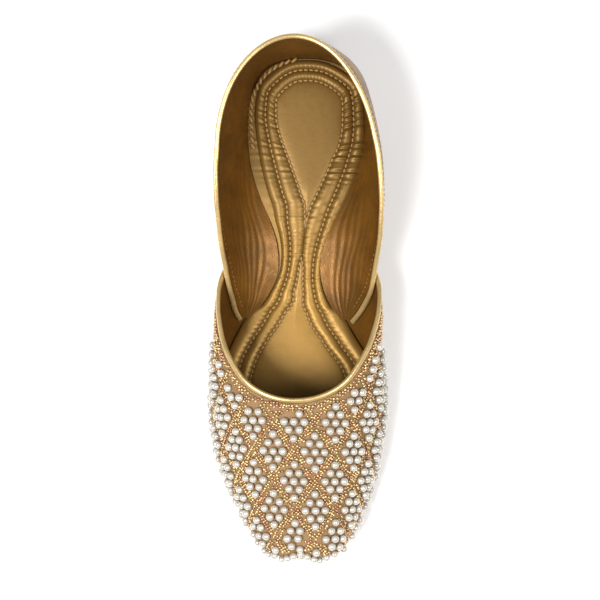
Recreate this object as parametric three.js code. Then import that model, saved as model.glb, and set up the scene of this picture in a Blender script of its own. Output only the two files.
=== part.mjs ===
// A right-foot slip-on flat: squared toe, beaded vamp, separate quarter, padded insole, moulded sole, heel.
// Millimetres. The last's own axes: x from the back of the sole to the toe, y towards the big toe, z up.
import * as THREE from "three";
import { mergeVertices } from "three/addons/utils/BufferGeometryUtils.js";

// Driving dimensions
const SOLE_LENGTH = 248;
const BALL_WIDTH = 83.6;
const HEEL_HEIGHT = 8;
const SOLE_THICKNESS = 4.2;
const TOE_SPRING = 5.5;
const COLLAR_HEIGHT = 62;
const INSTEP_HEIGHT = 45.5;

// Leather, lining and padding
const QUARTER_WALL = 1.5;
const VAMP_WALL = 1.6;
const LAP_GAP = 0.8;
const PIECE_GAP = 0.3;
const INSOLE_FLAT = 3.0;
const INSOLE_ROLL = 1.5;
const INSOLE_ROLL_WIDTH = 5;
const BINDING_HEIGHT = 2.6;
const BINDING_PROUD = 0.5;
const COLLAR_SWAY = 4;

// The collar round the heel, seen from above, is half an ellipse that stands behind the sole's back.
const COLLAR_BACK = -2.7;
const COLLAR_REACH = 60;
const COLLAR_HALF = 39;

// Where the pieces end along the shoe, in percent of the sole's length
const HEEL_BREAST = 25.8;
const THROAT = 68.5;
const VAMP_REAR = 35.5;
const QUARTER_FRONT = 52.6;

// Outline of the sole. along: percent of the length. half, swing: percent of half the ball width.
const SOLE_PLAN = [
  { along: 0.5, half: 27, swing: 0 },
  { along: 2.4, half: 52, swing: 0 },
  { along: 5.6, half: 66, swing: 0 },
  { along: 10.5, half: 72.5, swing: 0 },
  { along: 17, half: 72, swing: 0 },
  { along: 22.6, half: 66, swing: -2 },
  { along: 28.2, half: 55, swing: -3 },
  { along: 33.9, half: 42.5, swing: -3 },
  { along: 39.5, half: 33.5, swing: -3 },
  { along: 43.5, half: 33, swing: -3.5 },
  { along: 47.6, half: 41.5, swing: -5 },
  { along: 51.6, half: 57.5, swing: -6 },
  { along: 56.5, half: 76.5, swing: -4.5 },
  { along: 62, half: 92, swing: -1 },
  { along: 69.4, half: 100, swing: 0 },
  { along: 76.6, half: 97, swing: 0.5 },
  { along: 83, half: 89.5, swing: 2.5 },
  { along: 89.5, half: 74.5, swing: 6 },
  { along: 94.8, half: 60, swing: 8.5 },
  { along: 98, half: 47, swing: 10 },
  { along: 99.7, half: 33, swing: 10.5 },
  { along: 100, half: 21, swing: 10.5 },
];
const TOE_DIP = { along: 99.4, half: 0, swing: 10.5 };

// Underside of the sole. heel: share of the heel height. spring: share of the toe spring.
const SOLE_PROFILE = [
  { along: 0, heel: 1, spring: 0 },
  { along: 26, heel: 1, spring: 0 },
  { along: 34, heel: 0.72, spring: 0 },
  { along: 43, heel: 0.28, spring: 0 },
  { along: 52, heel: 0, spring: 0 },
  { along: 82, heel: 0, spring: 0 },
  { along: 90, heel: 0, spring: 0.22 },
  { along: 100, heel: 0, spring: 1 },
];

// Sections of the last. low and high are the two handles of a rib that climbs from the feather line to the
// ridge. Outward distances are percent of half the ball width beyond the feather line. Heights are percent of
// the collar height: lowUp above the feather line, highZ and ridge above the floor.
const LAST = [
  { along: 0, lowOut: 4, lowUp: 40, highOut: 46, highZ: 118, ridge: 200 },
  { along: 2.5, lowOut: 7, lowUp: 40, highOut: 46, highZ: 118, ridge: 199 },
  { along: 7, lowOut: 10.5, lowUp: 38, highOut: 48, highZ: 118, ridge: 196 },
  { along: 14, lowOut: 17, lowUp: 30, highOut: 58, highZ: 112, ridge: 188 },
  { along: 21, lowOut: 26, lowUp: 22, highOut: 74, highZ: 104, ridge: 178 },
  { along: 27, lowOut: 38, lowUp: 17, highOut: 91, highZ: 96, ridge: 166 },
  { along: 33, lowOut: 54, lowUp: 15, highOut: 108, highZ: 88, ridge: 152 },
  { along: 38.5, lowOut: 64, lowUp: 14, highOut: 117, highZ: 80, ridge: 138 },
  { along: 43, lowOut: 66, lowUp: 15, highOut: 112, highZ: 75, ridge: 125 },
  { along: 47, lowOut: 62, lowUp: 16, highOut: 98, highZ: 73, ridge: 112 },
  { along: 52, lowOut: 48, lowUp: 18, highOut: 70, highZ: 73, ridge: 100 },
  { along: 57, lowOut: 31, lowUp: 22, highOut: 36, highZ: 77, ridge: 90 },
  { along: 63, lowOut: 15, lowUp: 26, highOut: 2, highZ: 79, ridge: 81 },
  { along: THROAT, lowOut: 7, lowUp: 28, highOut: -14, highZ: 73.4, ridge: 73.4 },
  { along: 77, lowOut: 4.5, lowUp: 28, highOut: -26, highZ: 65, ridge: 65 },
  { along: 85, lowOut: 4, lowUp: 25, highOut: -26, highZ: 56, ridge: 56 },
  { along: 92, lowOut: 3.5, lowUp: 21, highOut: -20, highZ: 49, ridge: 49 },
  { along: 100, lowOut: 3, lowUp: 17, highOut: -8, highZ: 42, ridge: 42 },
];

// Top edges of the two pieces of the upper, seen from the side. height: percent of the collar height.
const QUARTER_EDGE = [
  { along: -3, height: 100 },
  { along: 6, height: 97.5 },
  { along: 14, height: 92 },
  { along: 21, height: 86 },
  { along: 27, height: 79 },
  { along: 33, height: 70 },
  { along: 37.5, height: 61 },
  { along: 41.5, height: 52 },
  { along: 46, height: 41 },
  { along: 49.5, height: 29 },
  { along: 53, height: 15 },
];
const VAMP_EDGE = [
  { along: VAMP_REAR, height: 21 },
  { along: 37.5, height: 25 },
  { along: 40, height: 31 },
  { along: 43, height: 39 },
  { along: 46.5, height: 47 },
  { along: 51, height: 54 },
  { along: 57, height: 60 },
  { along: 62, height: 66 },
  { along: 65.5, height: 70 },
  { along: THROAT, height: (100 * INSTEP_HEIGHT) / COLLAR_HEIGHT },
];

// Mesh density
const OUTLINE_STEPS = 40;
const SPLINE_STEPS = 24;
const WALL_ROWS = 10;
const VAMP_REAR_STEPS = 20;
const VAMP_TOE_STEPS = 15;
const QUARTER_STEPS = 22;
const BISECTIONS = 40;
const NUDGE = 1e-3;

const MEDIAL = 1;
const LATERAL = -1;
const HALF_WIDTH = BALL_WIDTH / 2;

const percent = (share, whole) => (share * whole) / 100;
const lerp = (a, b, t) => a + (b - a) * t;
const ease = (t) => t * t * (3 - 2 * t);
const between = (x, low, high) => Math.min(1, Math.max(0, (x - low) / (high - low)));

// A smooth curve through one column of a table that never overshoots its rows.
function column(rows, name) {
  const x = rows.map((row) => row.along);
  const y = rows.map((row) => row[name]);
  const slopes = y.slice(1).map((next, i) => (next - y[i]) / (x[i + 1] - x[i]));
  const tangents = y.map((_, i) => {
    const before = slopes[Math.max(i - 1, 0)];
    const after = slopes[Math.min(i, slopes.length - 1)];
    return before * after <= 0 ? 0 : (2 * before * after) / (before + after);
  });
  return (along) => {
    const at = Math.min(Math.max(along, x[0]), x[x.length - 1]);
    const i = Math.min(Math.max(x.findIndex((xi) => xi >= at) - 1, 0), slopes.length - 1);
    const width = x[i + 1] - x[i];
    const t = (at - x[i]) / width;
    const rise = ease(t);
    const turn = t * (1 - t) * width;
    return lerp(y[i], y[i + 1], rise) + turn * ((1 - t) * tangents[i] - t * tangents[i + 1]);
  };
}

// The sole's outline as one closed curve, heel to toe on the medial side and back on the lateral side.
function planCurve() {
  const place = (row, side) =>
    new THREE.Vector3(
      percent(row.along, SOLE_LENGTH),
      percent(row.swing + side * row.half, HALF_WIDTH),
      0,
    );
  const points = [
    new THREE.Vector3(0, 0, 0),
    ...SOLE_PLAN.map((row) => place(row, MEDIAL)),
    place(TOE_DIP, MEDIAL),
    ...SOLE_PLAN.map((row) => place(row, LATERAL)).reverse(),
  ];
  const curve = new THREE.CatmullRomCurve3(points, true, "centripetal");
  curve.arcLengthDivisions = points.length * SPLINE_STEPS;
  const lengths = curve.getLengths();
  const toe = lengths[(SOLE_PLAN.length + 1) * SPLINE_STEPS] / lengths[lengths.length - 1];
  return { curve, toe };
}

const PLAN = planCurve();
const underHeel = column(SOLE_PROFILE, "heel");
const underSpring = column(SOLE_PROFILE, "spring");
const swingAt = column([...SOLE_PLAN, { ...TOE_DIP, along: 100.1 }], "swing");
const last = Object.fromEntries(
  ["lowOut", "lowUp", "highOut", "highZ", "ridge"].map((name) => [name, column(LAST, name)]),
);
const quarterEdge = column(QUARTER_EDGE, "height");
const vampEdge = column(VAMP_EDGE, "height");

const alongOf = (x) => (100 * x) / SOLE_LENGTH;
const soleUnder = (x) =>
  underHeel(alongOf(x)) * HEEL_HEIGHT + underSpring(alongOf(x)) * TOE_SPRING;
const soleTop = (x) => soleUnder(x) + SOLE_THICKNESS;

// A point of the outline, and the way inwards there. s runs from 0 at the heel to 1 at the toe.
function outline(side, s) {
  const u = side === MEDIAL ? s * PLAN.toe : 1 - s * (1 - PLAN.toe);
  const at = ((u % 1) + 1) % 1;
  const point = PLAN.curve.getPointAt(at);
  const along = PLAN.curve.getTangentAt(at);
  return { point, inward: new THREE.Vector3(along.y, -along.x, 0) };
}

const stationX = (s) => (outline(MEDIAL, s).point.x + outline(LATERAL, s).point.x) / 2;

// The station whose two outline points lie on average at x.
function stationAt(x) {
  let [low, high] = [0, 1];
  for (let i = 0; i < BISECTIONS; i++) {
    const middle = (low + high) / 2;
    if (stationX(middle) < x) low = middle;
    else high = middle;
  }
  return (low + high) / 2;
}

// The spine that all ribs run to. They fan out round the heel and the toe and lie square to the shoe between.
const HEEL_FAN = { pivot: 13, end: 21, power: 2 };
const TOE_FAN = { start: 77, pivot: 96, power: 2 };
const heelFanStation = stationAt(percent(HEEL_FAN.end, SOLE_LENGTH));
const toeFanStation = stationAt(percent(TOE_FAN.start, SOLE_LENGTH));
function spine(s) {
  let x = stationX(s);
  if (s < heelFanStation) {
    const share = (s / heelFanStation) ** HEEL_FAN.power;
    x = percent(lerp(HEEL_FAN.pivot, HEEL_FAN.end, share), SOLE_LENGTH);
  } else if (s > toeFanStation) {
    const share = 1 - ((1 - s) / (1 - toeFanStation)) ** TOE_FAN.power;
    x = percent(lerp(TOE_FAN.start, TOE_FAN.pivot, share), SOLE_LENGTH);
  }
  return new THREE.Vector3(x, percent(swingAt(alongOf(x)), HALF_WIDTH), 0);
}

// A rib in plan: from the outline, moved in by a distance square to it, to the spine.
const STEEPEST_RIB = 0.55;
function rib(side, s, inset) {
  const { point, inward } = outline(side, s);
  const end = spine(s);
  const direction = end.clone().sub(point).normalize();
  const slant = Math.max(STEEPEST_RIB, direction.dot(inward));
  const start = point.clone().addScaledVector(direction, inset / slant);
  return { edge: point, start, direction, end, reach: end.distanceTo(start) };
}

// How far the feather line lies inside the sole's edge: little at the heel, a lapped wall further on.
const FEATHER_HEEL = 1;
const FEATHER_CLEAR = 0.2;
const FEATHER_FRONT = LAP_GAP + VAMP_WALL + FEATHER_CLEAR;
const FEATHER_CHANGE = { from: 26, to: 38 };
const featherInset = (along) =>
  lerp(FEATHER_HEEL, FEATHER_FRONT, ease(between(along, FEATHER_CHANGE.from, FEATHER_CHANGE.to)));

const STRAIGHTEN_HEIGHT = 20;
const COLLAR_FADE = { from: 17, to: 25 };
const SWAY_FADE = { from: 0, to: 45 };
const SWAY_FOOT = 17;

const cubic = (a, b, c, d, v) =>
  a * (1 - v) ** 3 + 3 * b * v * (1 - v) ** 2 + 3 * c * v ** 2 * (1 - v) + d * v ** 3;

// How far a rib runs outwards to the collar's ellipse.
function collarOut(start, direction) {
  const middle = COLLAR_BACK + COLLAR_REACH;
  const place = new THREE.Vector2((start.x - middle) / COLLAR_REACH, start.y / COLLAR_HALF);
  const way = new THREE.Vector2(-direction.x / COLLAR_REACH, -direction.y / COLLAR_HALF);
  const forward = place.dot(way);
  const root = Math.sqrt(forward ** 2 - way.lengthSq() * (place.lengthSq() - 1));
  return (root - forward) / way.lengthSq();
}

// The high handle that brings a rib with these heights to the collar's ellipse at the quarter's edge.
function collarHandle(start, direction, reach, lowOut, heights) {
  const out = collarOut(start, direction);
  const rim = percent(quarterEdge(alongOf(start.x - out * direction.x)), COLLAR_HEIGHT);
  let [low, high] = [0, 1];
  for (let i = 0; i < BISECTIONS; i++) {
    const middle = (low + high) / 2;
    if (cubic(...heights, middle) < rim) low = middle;
    else high = middle;
  }
  return (out - cubic(0, lowOut, 0, -reach, low)) / cubic(0, 0, 1, 0, low);
}

// A point of the last. v runs from 0 at the feather line to 1 at the ridge.
function lastPoint(side, station, v) {
  const folded = station < 0 ? -station : station > 1 ? 2 - station : station;
  const way = folded === station ? side : -side;
  const along = alongOf(stationX(folded));
  const inset = featherInset(along);
  const { edge, start, direction, end, reach } = rib(way, folded, inset);
  const lowOut = percent(last.lowOut(along), HALF_WIDTH);
  const lowUp = percent(last.lowUp(along), COLLAR_HEIGHT);
  // A wall that flares out lies on its own lapped layers, so its foot starts that much higher.
  const flare = lowOut / Math.hypot(lowOut, lowUp);
  const lappedShare = (inset - FEATHER_HEEL) / (FEATHER_FRONT - FEATHER_HEEL);
  const lapped = lappedShare * (LAP_GAP + VAMP_WALL);
  const foot = soleTop(edge.x) + PIECE_GAP + (lapped + PIECE_GAP) * flare;
  const highZ = percent(last.highZ(along), COLLAR_HEIGHT);
  const heights = [foot, foot + lowUp, highZ, percent(last.ridge(along), COLLAR_HEIGHT)];
  const collarShare = 1 - ease(between(along, COLLAR_FADE.from, COLLAR_FADE.to));
  const handle = collarShare > 0 ? collarHandle(start, direction, reach, lowOut, heights) : 0;
  const highOut = lerp(percent(last.highOut(along), HALF_WIDTH), handle, collarShare);
  const out = cubic(0, lowOut, highOut, -reach, v);
  const z = cubic(...heights, v);
  const swayShare = 1 - ease(between(along, SWAY_FADE.from, SWAY_FADE.to));
  const sway = COLLAR_SWAY * swayShare * ease(between(z, SWAY_FOOT, COLLAR_HEIGHT));
  // The sole's waist curves to the lateral side, and the upper straightens above it.
  const curved = Math.min(0, percent(swingAt(along), HALF_WIDTH));
  const straighten = curved * ease(between(z - foot, 0, STRAIGHTEN_HEIGHT));
  const point = v === 1 ? end.clone() : start.addScaledVector(direction, -out);
  return new THREE.Vector3(point.x, point.y - sway - straighten, z);
}

// The last's outward normal.
function lastNormal(side, s, v) {
  if (v === 1) {
    const ridge = lastPoint(side, s, 1).sub(lastPoint(side, s - NUDGE, 1));
    return new THREE.Vector3(-ridge.z, 0, ridge.x).normalize();
  }
  const along = lastPoint(side, s + NUDGE, v).sub(lastPoint(side, s - NUDGE, v));
  const up = lastPoint(side, s, v + NUDGE).sub(lastPoint(side, s, Math.max(v - NUDGE, 0)));
  return along.cross(up).multiplyScalar(-side).normalize();
}

const onLast = (side, s, v, offset) =>
  lastPoint(side, s, v).addScaledVector(lastNormal(side, s, v), offset);

// How far up its rib a piece of the upper reaches, from its top edge seen from the side.
function edgeHeight(edge, side, s) {
  let [low, high] = [0, 1];
  for (let i = 0; i < BISECTIONS; i++) {
    const middle = (low + high) / 2;
    const point = lastPoint(side, s, middle);
    if (point.z < percent(edge(alongOf(point.x)), COLLAR_HEIGHT)) low = middle;
    else high = middle;
  }
  return low;
}

// Corners closer than this are one corner.
const WELD = 1e-4;

// Gathers triangles into one closed geometry.
class Shell {
  constructor() {
    this.corners = [];
  }
  triangle(a, b, c) {
    this.corners.push(a, b, c);
  }
  // The corners go clockwise as seen from outside.
  quad(a, b, c, d) {
    this.triangle(a, c, b);
    this.triangle(a, d, c);
  }
  geometry() {
    const loose = new THREE.BufferGeometry().setFromPoints(this.corners);
    const merged = mergeVertices(loose, WELD);
    merged.computeVertexNormals();
    return merged;
  }
}

// A wall of the upper. Each column is a line on the last from the foot to the top edge, or to the ridge where
// the piece closes over the toes. Seen from above, the columns run clockwise round the piece.
function wall(columns, inner, outer) {
  const shell = new Shell();
  const grid = (offset) =>
    columns.map(({ side, foot, top, height }) =>
      Array.from({ length: WALL_ROWS + 1 }, (_, row) => {
        const share = row / WALL_ROWS;
        const [s, v] = row === WALL_ROWS ? [top, height] : [lerp(foot, top, share), share * height];
        return onLast(side, s, v, offset);
      }),
    );
  const [inside, outside] = [grid(inner), grid(outer)];
  for (let c = 0; c + 1 < columns.length; c++) {
    for (let row = 0; row < WALL_ROWS; row++) {
      shell.quad(outside[c][row], outside[c + 1][row], outside[c + 1][row + 1], outside[c][row + 1]);
      shell.quad(inside[c][row + 1], inside[c + 1][row + 1], inside[c + 1][row], inside[c][row]);
    }
    shell.quad(inside[c][0], inside[c + 1][0], outside[c + 1][0], outside[c][0]);
    const closed = columns[c].height === 1 && columns[c + 1].height === 1;
    if (!closed) {
      const top = WALL_ROWS;
      shell.quad(outside[c][top], outside[c + 1][top], inside[c + 1][top], inside[c][top]);
    }
  }
  const end = columns.length - 1;
  for (let row = 0; row < WALL_ROWS; row++) {
    shell.quad(inside[0][row], outside[0][row], outside[0][row + 1], inside[0][row + 1]);
    shell.quad(outside[end][row], inside[end][row], inside[end][row + 1], outside[end][row + 1]);
  }
  return shell.geometry();
}

const steps = (count) => Array.from({ length: count + 1 }, (_, i) => i / count);

// Columns of the quarter: from its lateral front end, round the heel, to its medial front end.
function quarterColumns() {
  const front = stationAt(percent(QUARTER_FRONT, SOLE_LENGTH));
  const one = (side, share) => {
    const s = share * front;
    return { side, foot: s, top: s, height: edgeHeight(quarterEdge, side, s) };
  };
  return [
    ...steps(QUARTER_STEPS).reverse().map((share) => one(LATERAL, share)),
    ...steps(QUARTER_STEPS).slice(1).map((share) => one(MEDIAL, share)),
  ];
}

// Columns of the vamp: from its medial rear end, round the toe, to its lateral rear end.
const TOP_CROWDING = 1.6;
const FOOT_CROWDING = 1.2;
function vampColumns() {
  const throat = stationAt(percent(THROAT, SOLE_LENGTH));
  const rearOf = (power, share) =>
    stationAt(percent(lerp(THROAT, VAMP_REAR, share ** power), SOLE_LENGTH));
  const rear = (side) =>
    steps(VAMP_REAR_STEPS).map((share) => {
      const top = share === 0 ? throat : rearOf(TOP_CROWDING, share);
      const height = share === 0 ? 1 : edgeHeight(vampEdge, side, top);
      return { side, foot: rearOf(FOOT_CROWDING, share), top, height };
    });
  const toe = (side) =>
    steps(VAMP_TOE_STEPS).slice(1).map((share) => {
      const s = lerp(throat, 1, share);
      return { side, foot: s, top: s, height: 1 };
    });
  return [
    ...rear(MEDIAL).reverse(),
    ...toe(MEDIAL),
    ...toe(LATERAL).reverse().slice(1),
    ...rear(LATERAL),
  ];
}

// A rolled binding that sits on a wall's top edge.
const BINDING_SECTION = [
  { up: 0, out: -0.42 },
  { up: 0.45, out: -0.5 },
  { up: 0.8, out: -0.38 },
  { up: 1, out: -0.14 },
  { up: 1, out: 0.14 },
  { up: 0.8, out: 0.38 },
  { up: 0.45, out: 0.5 },
  { up: 0, out: 0.42 },
];
function binding(columns, inner, outer) {
  const shell = new Shell();
  const throat = columns.findIndex(({ height }) => height === 1);
  const edge = columns
    .filter(({ height }, i) => height < 1 || i === throat)
    .map((at) => ({ ...at, point: lastPoint(at.side, at.top, at.height) }));
  const middle = (inner + outer) / 2;
  const thick = outer - inner;
  const rings = edge.map(({ side, top, height, point }, i) => {
    const before = edge[Math.max(i - 1, 0)].point;
    const after = edge[Math.min(i + 1, edge.length - 1)].point;
    // Square to the edge and in the last's surface, as steps of s and v per millimetre.
    const alongS = lastPoint(side, top + NUDGE, height).sub(lastPoint(side, top - NUDGE, height));
    const alongV = point.clone().sub(lastPoint(side, top, height - NUDGE));
    const beyond = after.clone().sub(before).cross(lastNormal(side, top, height)).normalize();
    const [ss, sv, vv] = [alongS.dot(alongS), alongS.dot(alongV), alongV.dot(alongV)];
    const [bs, bv] = [beyond.dot(alongS), beyond.dot(alongV)];
    const spread = ss * vv - sv * sv;
    const stepS = ((bs * vv - bv * sv) / spread) * 2 * NUDGE;
    const stepV = ((bv * ss - bs * sv) / spread) * NUDGE;
    return BINDING_SECTION.map((corner) => {
      const reach = PIECE_GAP + corner.up * BINDING_HEIGHT;
      return onLast(side, top + stepS * reach, height + stepV * reach, middle + corner.out * thick);
    });
  });
  const corners = BINDING_SECTION.length;
  for (let i = 0; i + 1 < rings.length; i++) {
    for (let k = 0; k < corners; k++) {
      const next = (k + 1) % corners;
      shell.quad(rings[i][next], rings[i + 1][next], rings[i + 1][k], rings[i][k]);
    }
  }
  const [first, final] = [rings[0], rings[rings.length - 1]];
  for (let k = 1; k + 1 < corners; k++) {
    shell.triangle(first[0], first[k], first[k + 1]);
    shell.triangle(final[0], final[k + 1], final[k]);
  }
  return shell.geometry();
}

// A solid that fills the sole's outline: rings from the underside to the top, closed along the spine.
// Each ring gives an inset from the outline and a height at x.
function plate(rings) {
  const shell = new Shell();
  const stations = steps(OUTLINE_STEPS);
  const halves = [MEDIAL, LATERAL].map((side) =>
    rings.map(({ inset, height }) =>
      stations.map((s) => {
        const { start } = rib(side, s, inset(s));
        return start.setZ(height(start.x, s));
      }),
    ),
  );
  const seam = ({ height }) =>
    stations.map((s) => {
      const point = spine(s);
      return point.setZ(height(point.x, s));
    });
  const bottom = seam(rings[0]);
  const top = seam(rings[rings.length - 1]);
  halves.forEach((half, index) => {
    const face = (a, b, c, d) => (index === 0 ? shell.quad(a, b, c, d) : shell.quad(d, c, b, a));
    for (let i = 0; i < OUTLINE_STEPS; i++) {
      face(bottom[i], bottom[i + 1], half[0][i + 1], half[0][i]);
      for (let r = 0; r + 1 < rings.length; r++) {
        face(half[r][i], half[r][i + 1], half[r + 1][i + 1], half[r + 1][i]);
      }
      const rim = half[rings.length - 1];
      face(rim[i], rim[i + 1], top[i + 1], top[i]);
    }
  });
  return shell.geometry();
}

// Outsole: bevelled at the floor, slightly rounded where it meets the upper.
const SOLE_BEVEL = 1.4;
const SOLE_BEVEL_RISE = 1.1;
const SOLE_ROUND = 0.5;
const SOLE_ROUND_DROP = 1.4;
function outsoleGeometry() {
  const fixed = (inset) => () => inset;
  return plate([
    { inset: fixed(SOLE_BEVEL), height: soleUnder },
    { inset: fixed(SOLE_ROUND / 2), height: (x) => soleUnder(x) + SOLE_BEVEL_RISE },
    { inset: fixed(0), height: (x) => soleTop(x) - SOLE_ROUND_DROP },
    { inset: fixed(SOLE_ROUND), height: soleTop },
  ]);
}

// Heel: a flat block under the back of the outsole with a straight breast.
const HEEL_BEVEL = 0.9;
const HEEL_STEPS = 14;
function heelGeometry() {
  const breast = stationAt(percent(HEEL_BREAST, SOLE_LENGTH));
  const corner = (side, share) => {
    const { start } = rib(side, share * breast, HEEL_BEVEL + SOLE_ROUND / 2);
    return new THREE.Vector2(start.x, start.y);
  };
  const shape = new THREE.Shape([
    ...steps(HEEL_STEPS).map((share) => corner(MEDIAL, share)).reverse(),
    ...steps(HEEL_STEPS).slice(1).map((share) => corner(LATERAL, share)),
  ]);
  const block = new THREE.ExtrudeGeometry(shape, {
    depth: HEEL_HEIGHT - PIECE_GAP - 2 * HEEL_BEVEL,
    bevelThickness: HEEL_BEVEL,
    bevelSize: HEEL_BEVEL,
    bevelSegments: 1,
  });
  block.translate(0, 0, HEEL_BEVEL);
  block.deleteAttribute("normal");
  block.deleteAttribute("uv");
  return mergeVertices(block, WELD);
}

// Insole: a padded sock with two rolls sewn round a flat middle. across: percent of a roll's width in from
// the edge. height: percent of the outer roll's height.
const INSOLE_SECTION = [
  { across: 12, height: 0 },
  { across: 0, height: 27 },
  { across: 4, height: 67 },
  { across: 26, height: 93 },
  { across: 50, height: 100 },
  { across: 78, height: 93 },
  { across: 98, height: 71 },
  { across: 124, height: 89 },
  { across: 145, height: 93 },
  { across: 166, height: 89 },
  { across: 186, height: (100 * INSOLE_FLAT) / (INSOLE_FLAT + INSOLE_ROLL) },
];
const INSOLE_SPREAD = { from: 54, to: 62, reach: 0.4 };
function insoleGeometry() {
  // The wall's foot leans with the flare, so the insole is that much wider at the waist. In front of the
  // quarter it spreads as far as the vamp.
  const edge = (s) => {
    const along = alongOf(stationX(s));
    const [out, up] = [percent(last.lowOut(along), HALF_WIDTH), percent(last.lowUp(along), COLLAR_HEIGHT)];
    const spread = ease(between(along, INSOLE_SPREAD.from, INSOLE_SPREAD.to));
    const wallInside = lerp(QUARTER_WALL, -INSOLE_SPREAD.reach, spread);
    return featherInset(along) + (wallInside * up) / Math.hypot(out, up) + PIECE_GAP;
  };
  const floor = (x) => soleTop(x) + PIECE_GAP;
  return plate(
    INSOLE_SECTION.map(({ across, height }) => ({
      inset: (s) => edge(s) + percent(across, INSOLE_ROLL_WIDTH),
      height: (x) => floor(x) + percent(height, INSOLE_FLAT + INSOLE_ROLL),
    })),
  );
}

const finish = (color, roughness, metalness) =>
  new THREE.MeshStandardMaterial({ color, roughness, metalness });
const goldLeather = finish(0xb08a3e, 0.42, 0.6);
const brightGold = finish(0xc9a458, 0.34, 0.65);
const beadedCloth = finish(0xcdbb94, 0.55, 0.2);
const paddedGold = finish(0xae8a4a, 0.45, 0.5);
const mouldedRubber = finish(0x8e6a54, 0.7, 0);

const quarter = quarterColumns();
const vamp = vampColumns();
const vampInner = LAP_GAP;
const vampOuter = LAP_GAP + VAMP_WALL;

const pieces = [
  ["outsole", outsoleGeometry(), mouldedRubber],
  ["heel", heelGeometry(), mouldedRubber],
  ["insole", insoleGeometry(), paddedGold],
  ["quarter", wall(quarter, -QUARTER_WALL, 0), goldLeather],
  ["vamp", wall(vamp, vampInner, vampOuter), beadedCloth],
  ["quarter_binding", binding(quarter, -QUARTER_WALL - BINDING_PROUD, PIECE_GAP), brightGold],
  ["vamp_binding", binding(vamp, vampInner, vampOuter + BINDING_PROUD), brightGold],
];

const shoe = new THREE.Group();
for (const [name, geometry, material] of pieces) {
  const mesh = new THREE.Mesh(geometry, material);
  mesh.name = name;
  shoe.add(mesh);
}

// The part's origin is on the floor under the middle of the shoe's box.
const box = new THREE.Box3().setFromObject(shoe);
const middle = box.getCenter(new THREE.Vector3());
shoe.children.forEach((mesh) => mesh.position.set(-middle.x, -middle.y, -box.min.z));

export default shoe;
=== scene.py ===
"""Dresses a right-foot beaded slip-on flat with its sole, insole, upper, bindings, beads and stitches."""

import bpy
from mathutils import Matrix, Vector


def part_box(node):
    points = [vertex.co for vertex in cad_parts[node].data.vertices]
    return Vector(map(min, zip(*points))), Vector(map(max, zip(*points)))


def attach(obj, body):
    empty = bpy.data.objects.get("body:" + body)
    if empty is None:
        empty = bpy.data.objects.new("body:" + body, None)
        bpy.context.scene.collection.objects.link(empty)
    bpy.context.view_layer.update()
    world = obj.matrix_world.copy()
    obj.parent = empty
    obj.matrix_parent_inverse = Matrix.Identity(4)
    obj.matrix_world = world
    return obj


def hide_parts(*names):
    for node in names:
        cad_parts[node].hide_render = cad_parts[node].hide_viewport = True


bl_info = {
    "name": "Beaded flat shoe",
    "version": (1, 0, 0),
    "blender": (4, 5, 0),
    "location": "3D View > Sidebar > Shoe",
    "description": "Builds a beaded slip-on flat over its packed solids",
    "category": "Object",
}

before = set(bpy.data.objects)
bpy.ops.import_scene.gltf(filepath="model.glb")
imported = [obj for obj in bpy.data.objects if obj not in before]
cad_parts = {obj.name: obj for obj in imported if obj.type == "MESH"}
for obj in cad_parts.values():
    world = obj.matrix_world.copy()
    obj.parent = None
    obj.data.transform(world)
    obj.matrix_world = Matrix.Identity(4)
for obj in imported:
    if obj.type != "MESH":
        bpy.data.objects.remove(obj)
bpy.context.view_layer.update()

import math
import types

import bpy
import numpy as np
from mathutils import Matrix, Vector

MM = 0.001
MEDIAL = 1
LATERAL = -1
BODY = "root"

# Driving dimensions of the shoe, in millimetres. The last's own axes: x from the back of the sole to the toe,
# y towards the big toe, z up from the floor.
SOLE_LENGTH = 248.0
HALF_WIDTH = 41.8
HEEL_HEIGHT = 8.0
SOLE_THICKNESS = 4.2
TOE_SPRING = 5.5
COLLAR_HEIGHT = 62.0
INSTEP_HEIGHT = 45.5
QUARTER_WALL = 1.5
VAMP_WALL = 1.6
LAP_GAP = 0.8
PIECE_GAP = 0.3
INSOLE_FLAT = 3.0
COLLAR_SWAY = 4.0
COLLAR_BACK = -2.7
COLLAR_REACH = 60.0
COLLAR_HALF = 39.0
COLLAR_FADE = {"start": 17, "end": 25}
SWAY_FADE = 45.0
SWAY_FOOT = 17.0
STRAIGHTEN_HEIGHT = 20.0
FEATHER_HEEL = 1.0
FEATHER_FRONT = LAP_GAP + VAMP_WALL + 0.2
HEEL_BREAST = 25.8
THROAT = 68.5
VAMP_REAR = 35.5
QUARTER_FRONT = 52.6
STEEPEST_RIB = 0.55
NUDGE = 1e-3
VAMP_INNER = LAP_GAP
VAMP_OUTER = LAP_GAP + VAMP_WALL


def table(names, *rows):
    """A table as named columns."""
    return {name: np.array(column, float) for name, column in zip(names.split(), zip(*rows))}


# Outline of the sole. along: percent of the length. half, swing: percent of half the ball width.
SOLE_PLAN = table(
    "along half swing",
    (0.5, 27, 0),
    (2.4, 52, 0),
    (5.6, 66, 0),
    (10.5, 72.5, 0),
    (17, 72, 0),
    (22.6, 66, -2),
    (28.2, 55, -3),
    (33.9, 42.5, -3),
    (39.5, 33.5, -3),
    (43.5, 33, -3.5),
    (47.6, 41.5, -5),
    (51.6, 57.5, -6),
    (56.5, 76.5, -4.5),
    (62, 92, -1),
    (69.4, 100, 0),
    (76.6, 97, 0.5),
    (83, 89.5, 2.5),
    (89.5, 74.5, 6),
    (94.8, 60, 8.5),
    (98, 47, 10),
    (99.7, 33, 10.5),
    (100, 21, 10.5),
)
TOE_DIP = (99.4, 10.5)

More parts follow.
